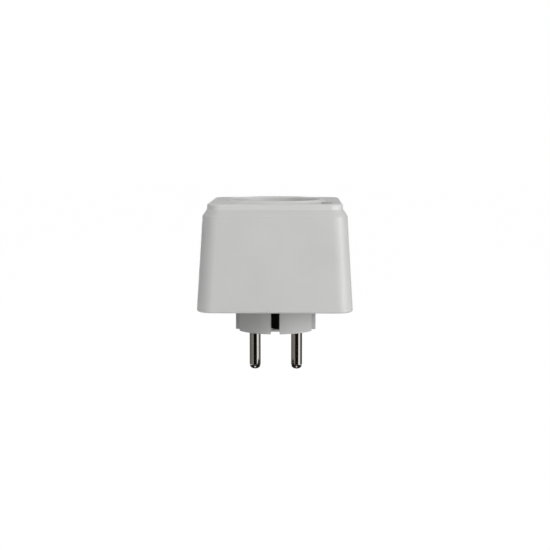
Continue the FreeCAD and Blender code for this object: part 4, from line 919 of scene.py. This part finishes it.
def studio_camera():
    level = math.cos(VIEW_PITCH)
    away = Vector((math.sin(VIEW_TURN) * level, -math.cos(VIEW_TURN) * level, math.sin(VIEW_PITCH)))
    camera_data = bpy.data.cameras.new("studio_camera")
    camera_data.lens = VIEW_LENS
    camera_data.sensor_width = 36.0
    camera_data.clip_start = 0.01
    camera_data.clip_end = 50.0
    camera = bpy.data.objects.new("studio_camera", camera_data)
    bpy.context.scene.collection.objects.link(camera)
    camera.location = VIEW_AIM + away * VIEW_DISTANCE
    camera.rotation_euler = (-away).to_track_quat("-Z", "Y").to_euler()
    bpy.context.scene.camera = camera


def seen_white(name, diffuse, share, strength):
    """Pale surface that reads white to the eye and in metal, and still takes a shadow."""
    material = bpy.data.materials.new(name)
    material.use_nodes = True
    tree = material.node_tree
    tree.nodes.clear()
    output = tree.nodes.new("ShaderNodeOutputMaterial")
    pale = tree.nodes.new("ShaderNodeBsdfDiffuse")
    pale.inputs["Color"].default_value = (diffuse, diffuse, diffuse, 1)
    glow = tree.nodes.new("ShaderNodeEmission")
    glow.inputs["Strength"].default_value = strength
    mix = tree.nodes.new("ShaderNodeMixShader")
    tree.links.new(seen_directly(tree, share), mix.inputs["Fac"])
    tree.links.new(pale.outputs["BSDF"], mix.inputs[1])
    tree.links.new(glow.outputs["Emission"], mix.inputs[2])
    tree.links.new(mix.outputs["Shader"], output.inputs["Surface"])
    return material


def seen_directly(tree, share):
    """Share for camera, glossy and transmission rays, nothing for the others."""
    path = tree.nodes.new("ShaderNodeLightPath")
    total = tree.nodes.new("ShaderNodeMath")
    total.operation = "MAXIMUM"
    tree.links.new(path.outputs["Is Camera Ray"], total.inputs[0])
    tree.links.new(path.outputs["Is Glossy Ray"], total.inputs[1])
    both = tree.nodes.new("ShaderNodeMath")
    both.operation = "MAXIMUM"
    tree.links.new(total.outputs["Value"], both.inputs[0])
    tree.links.new(path.outputs["Is Transmission Ray"], both.inputs[1])
    scaled = tree.nodes.new("ShaderNodeMath")
    scaled.operation = "MULTIPLY"
    scaled.inputs[1].default_value = share
    tree.links.new(both.outputs["Value"], scaled.inputs[0])
    return scaled.outputs["Value"]


def studio_floor():
    deselect_all()
    z = pin_low.z - FLOOR_DROP
    bpy.ops.mesh.primitive_circle_add(vertices=96, radius=FLOOR_RADIUS, fill_type="NGON",
                                      location=(0, 0, z))
    floor = named(bpy.context.object, "studio_floor")
    rest_at_origin(floor)
    floor.data.materials.append(seen_white("studio_floor", 0.75, 0.96, 1.03))


def studio_world():
    world = bpy.data.worlds.new("studio_world")
    bpy.context.scene.world = world
    world.use_nodes = True
    tree = world.node_tree
    tree.nodes.clear()
    output = tree.nodes.new("ShaderNodeOutputWorld")
    dim = tree.nodes.new("ShaderNodeBackground")
    dim.inputs["Color"].default_value = (1.0, 1.0, 1.0, 1)
    place = tree.nodes.new("ShaderNodeTexCoord")
    height = tree.nodes.new("ShaderNodeSeparateXYZ")
    tree.links.new(place.outputs["Generated"], height.inputs["Vector"])
    level = tree.nodes.new("ShaderNodeMapRange")
    level.inputs["To Min"].default_value = WORLD_LOW
    level.inputs["To Max"].default_value = WORLD_HIGH
    tree.links.new(height.outputs["Z"], level.inputs["Value"])
    tree.links.new(level.outputs["Result"], dim.inputs["Strength"])
    white = tree.nodes.new("ShaderNodeBackground")
    white.inputs["Color"].default_value = (1.0, 1.0, 1.0, 1)
    white.inputs["Strength"].default_value = 1.0
    mix = tree.nodes.new("ShaderNodeMixShader")
    tree.links.new(seen_directly(tree, 1.0), mix.inputs["Fac"])
    tree.links.new(dim.outputs["Background"], mix.inputs[1])
    tree.links.new(white.outputs["Background"], mix.inputs[2])
    tree.links.new(mix.outputs["Shader"], output.inputs["Surface"])


def flag_finish(name, grey):
    """A flag, dark or bright, that only mirrors see: clear to the eye, to light and to shadow."""
    material = bpy.data.materials.new(name)
    material.use_nodes = True
    tree = material.node_tree
    tree.nodes.clear()
    output = tree.nodes.new("ShaderNodeOutputMaterial")
    clear = tree.nodes.new("ShaderNodeBsdfTransparent")
    glow = tree.nodes.new("ShaderNodeEmission")
    glow.inputs["Color"].default_value = (*grey, 1)
    glow.inputs["Strength"].default_value = 1.0
    path = tree.nodes.new("ShaderNodeLightPath")
    mix = tree.nodes.new("ShaderNodeMixShader")
    tree.links.new(path.outputs["Is Glossy Ray"], mix.inputs["Fac"])
    tree.links.new(clear.outputs["BSDF"], mix.inputs[1])
    tree.links.new(glow.outputs["Emission"], mix.inputs[2])
    tree.links.new(mix.outputs["Shader"], output.inputs["Surface"])
    return material


def studio_flag(name, turn_from, turn_to, radius, z_low, z_high, grey):
    """An upright curved flag round the object, between two turns from the front, in degrees."""
    piece = new_piece(name)
    steps = max(2, round(abs(turn_to - turn_from) / FLAG_STEP))
    points = arc((0, 0), radius, turn_from - 90, turn_to - 90, steps)
    draw_line(piece, [(x, y, z_low) for x, y in points])
    bpy.ops.mesh.select_all(action="SELECT")
    bpy.ops.mesh.extrude_region_move(TRANSFORM_OT_translate={"value": (0, 0, z_high - z_low)})
    bpy.ops.object.mode_set(mode="OBJECT")
    piece.data.materials.append(flag_finish(name, grey))


def studio_card(name, x_span, y_span, drop, grey):
    """A level card that only mirrors see, below the pins' tips, or above them if drop is negative."""
    z = pin_low.z - drop
    piece = new_piece(name)
    draw_line(piece, [(x, y_span[0], z) for x in x_span])
    bpy.ops.mesh.select_all(action="SELECT")
    bpy.ops.mesh.extrude_region_move(TRANSFORM_OT_translate={"value": (0, y_span[1] - y_span[0], 0)})
    bpy.ops.object.mode_set(mode="OBJECT")
    piece.data.materials.append(flag_finish(name, grey))


def studio_lamp(name, turn, height, distance, size_x, size_y, power):
    """An area lamp at a turn from the front and a height angle, in degrees, facing the object."""
    lamp_data = bpy.data.lights.new(name, "AREA")
    lamp_data.shape = "RECTANGLE"
    lamp_data.size = size_x
    lamp_data.size_y = size_y
    lamp_data.energy = power
    lamp = bpy.data.objects.new(name, lamp_data)
    bpy.context.scene.collection.objects.link(lamp)
    angle = math.radians(turn)
    rise = math.radians(height)
    away = Vector((math.sin(angle) * math.cos(rise), -math.cos(angle) * math.cos(rise), math.sin(rise)))
    lamp.location = LAMP_AIM + away * distance
    lamp.rotation_euler = (-away).to_track_quat("-Z", "Y").to_euler()


# ---- Build ------------------------------------------------------------------------------------------------
dress_nodes()
dress(outer_shell(), "housing_plastic", "meter", "housing_shell")
dress(socket_plate(), "plate_plastic", "meter", "face_plate")
dress(plug_cover(), "housing_plastic_rear", "meter", "rear_cover")
dress(plug_pin("line_pin", 1), "nickel", "meter", "plug_pin_line")
dress(plug_pin("neutral_pin", -1), "nickel", "meter", "plug_pin_neutral")
dress(plug_earth_strip(), "nickel", "meter", "plug_earth_strap")
dress(socket_earth_strip(), "nickel", "meter", "socket_earth_strap")
dress(cover_screws(), "screw_steel", "meter", "housing_screws")
dress(push_button(), "button_plastic", "button", "button_cap")

# The flags and cards are what the pins and the glossy plastic mirror
studio_camera()
studio_floor()
studio_world()
studio_flag("flag_front", -29.5, 37, 0.60, -0.30, -0.02, (0.003, 0.003, 0.003))
studio_flag("flag_left", -80, -29.5, 0.62, -0.30, 0.30, (0.26, 0.245, 0.23))
studio_flag("flag_far_left", -150, -80, 0.62, -0.30, 0.30, (0.16, 0.15, 0.14))
studio_flag("flag_right", 78, 150, 0.62, -0.30, 0.30, (0.10, 0.097, 0.094))
studio_flag("flag_back", 130, 230, 0.62, 0.02, 0.34, (0.22, 0.22, 0.22))
studio_flag("softbox_mirrored_back", 150, 210, 0.58, 0.36, 0.60, (1.8, 1.8, 1.8))
studio_flag("softbox_mirrored", -60, 60, 0.58, 0.10, 0.36, (1.4, 1.4, 1.4))
studio_card("card_above", (-0.35, 0.35), (-0.02, 0.45), -0.47, (2.4, 2.4, 2.4))
studio_card("card_tips", (-0.019, 0.019), (-0.014, 0.004), 0.001, (0.02, 0.02, 0.02))
studio_card("card_strip", (-0.003, 0.003), (-0.10, -0.024), 0.001, (0.02, 0.02, 0.02))
for side in SIDES:
    spot = side * PIN_PITCH / 2
    studio_card("card_spot", (spot - SPOT_HALF, spot + SPOT_HALF), SPOT_SPAN, 0.5 * MM, (1.0, 1.0, 1.0))
studio_lamp("key_lamp", 58, 12, 0.9, 0.5, 0.5, 4.6)
studio_lamp("front_lamp", -30, 30, 1.1, 0.8, 0.5, 2.85)
studio_lamp("top_lamp", 0, 78, 0.9, 0.25, 0.25, 0.5)
studio_lamp("back_lamp", 195, 8, 0.9, 0.6, 0.4, 3.0)

deselect_all()
bpy.context.scene.view_settings.view_transform = "Standard"
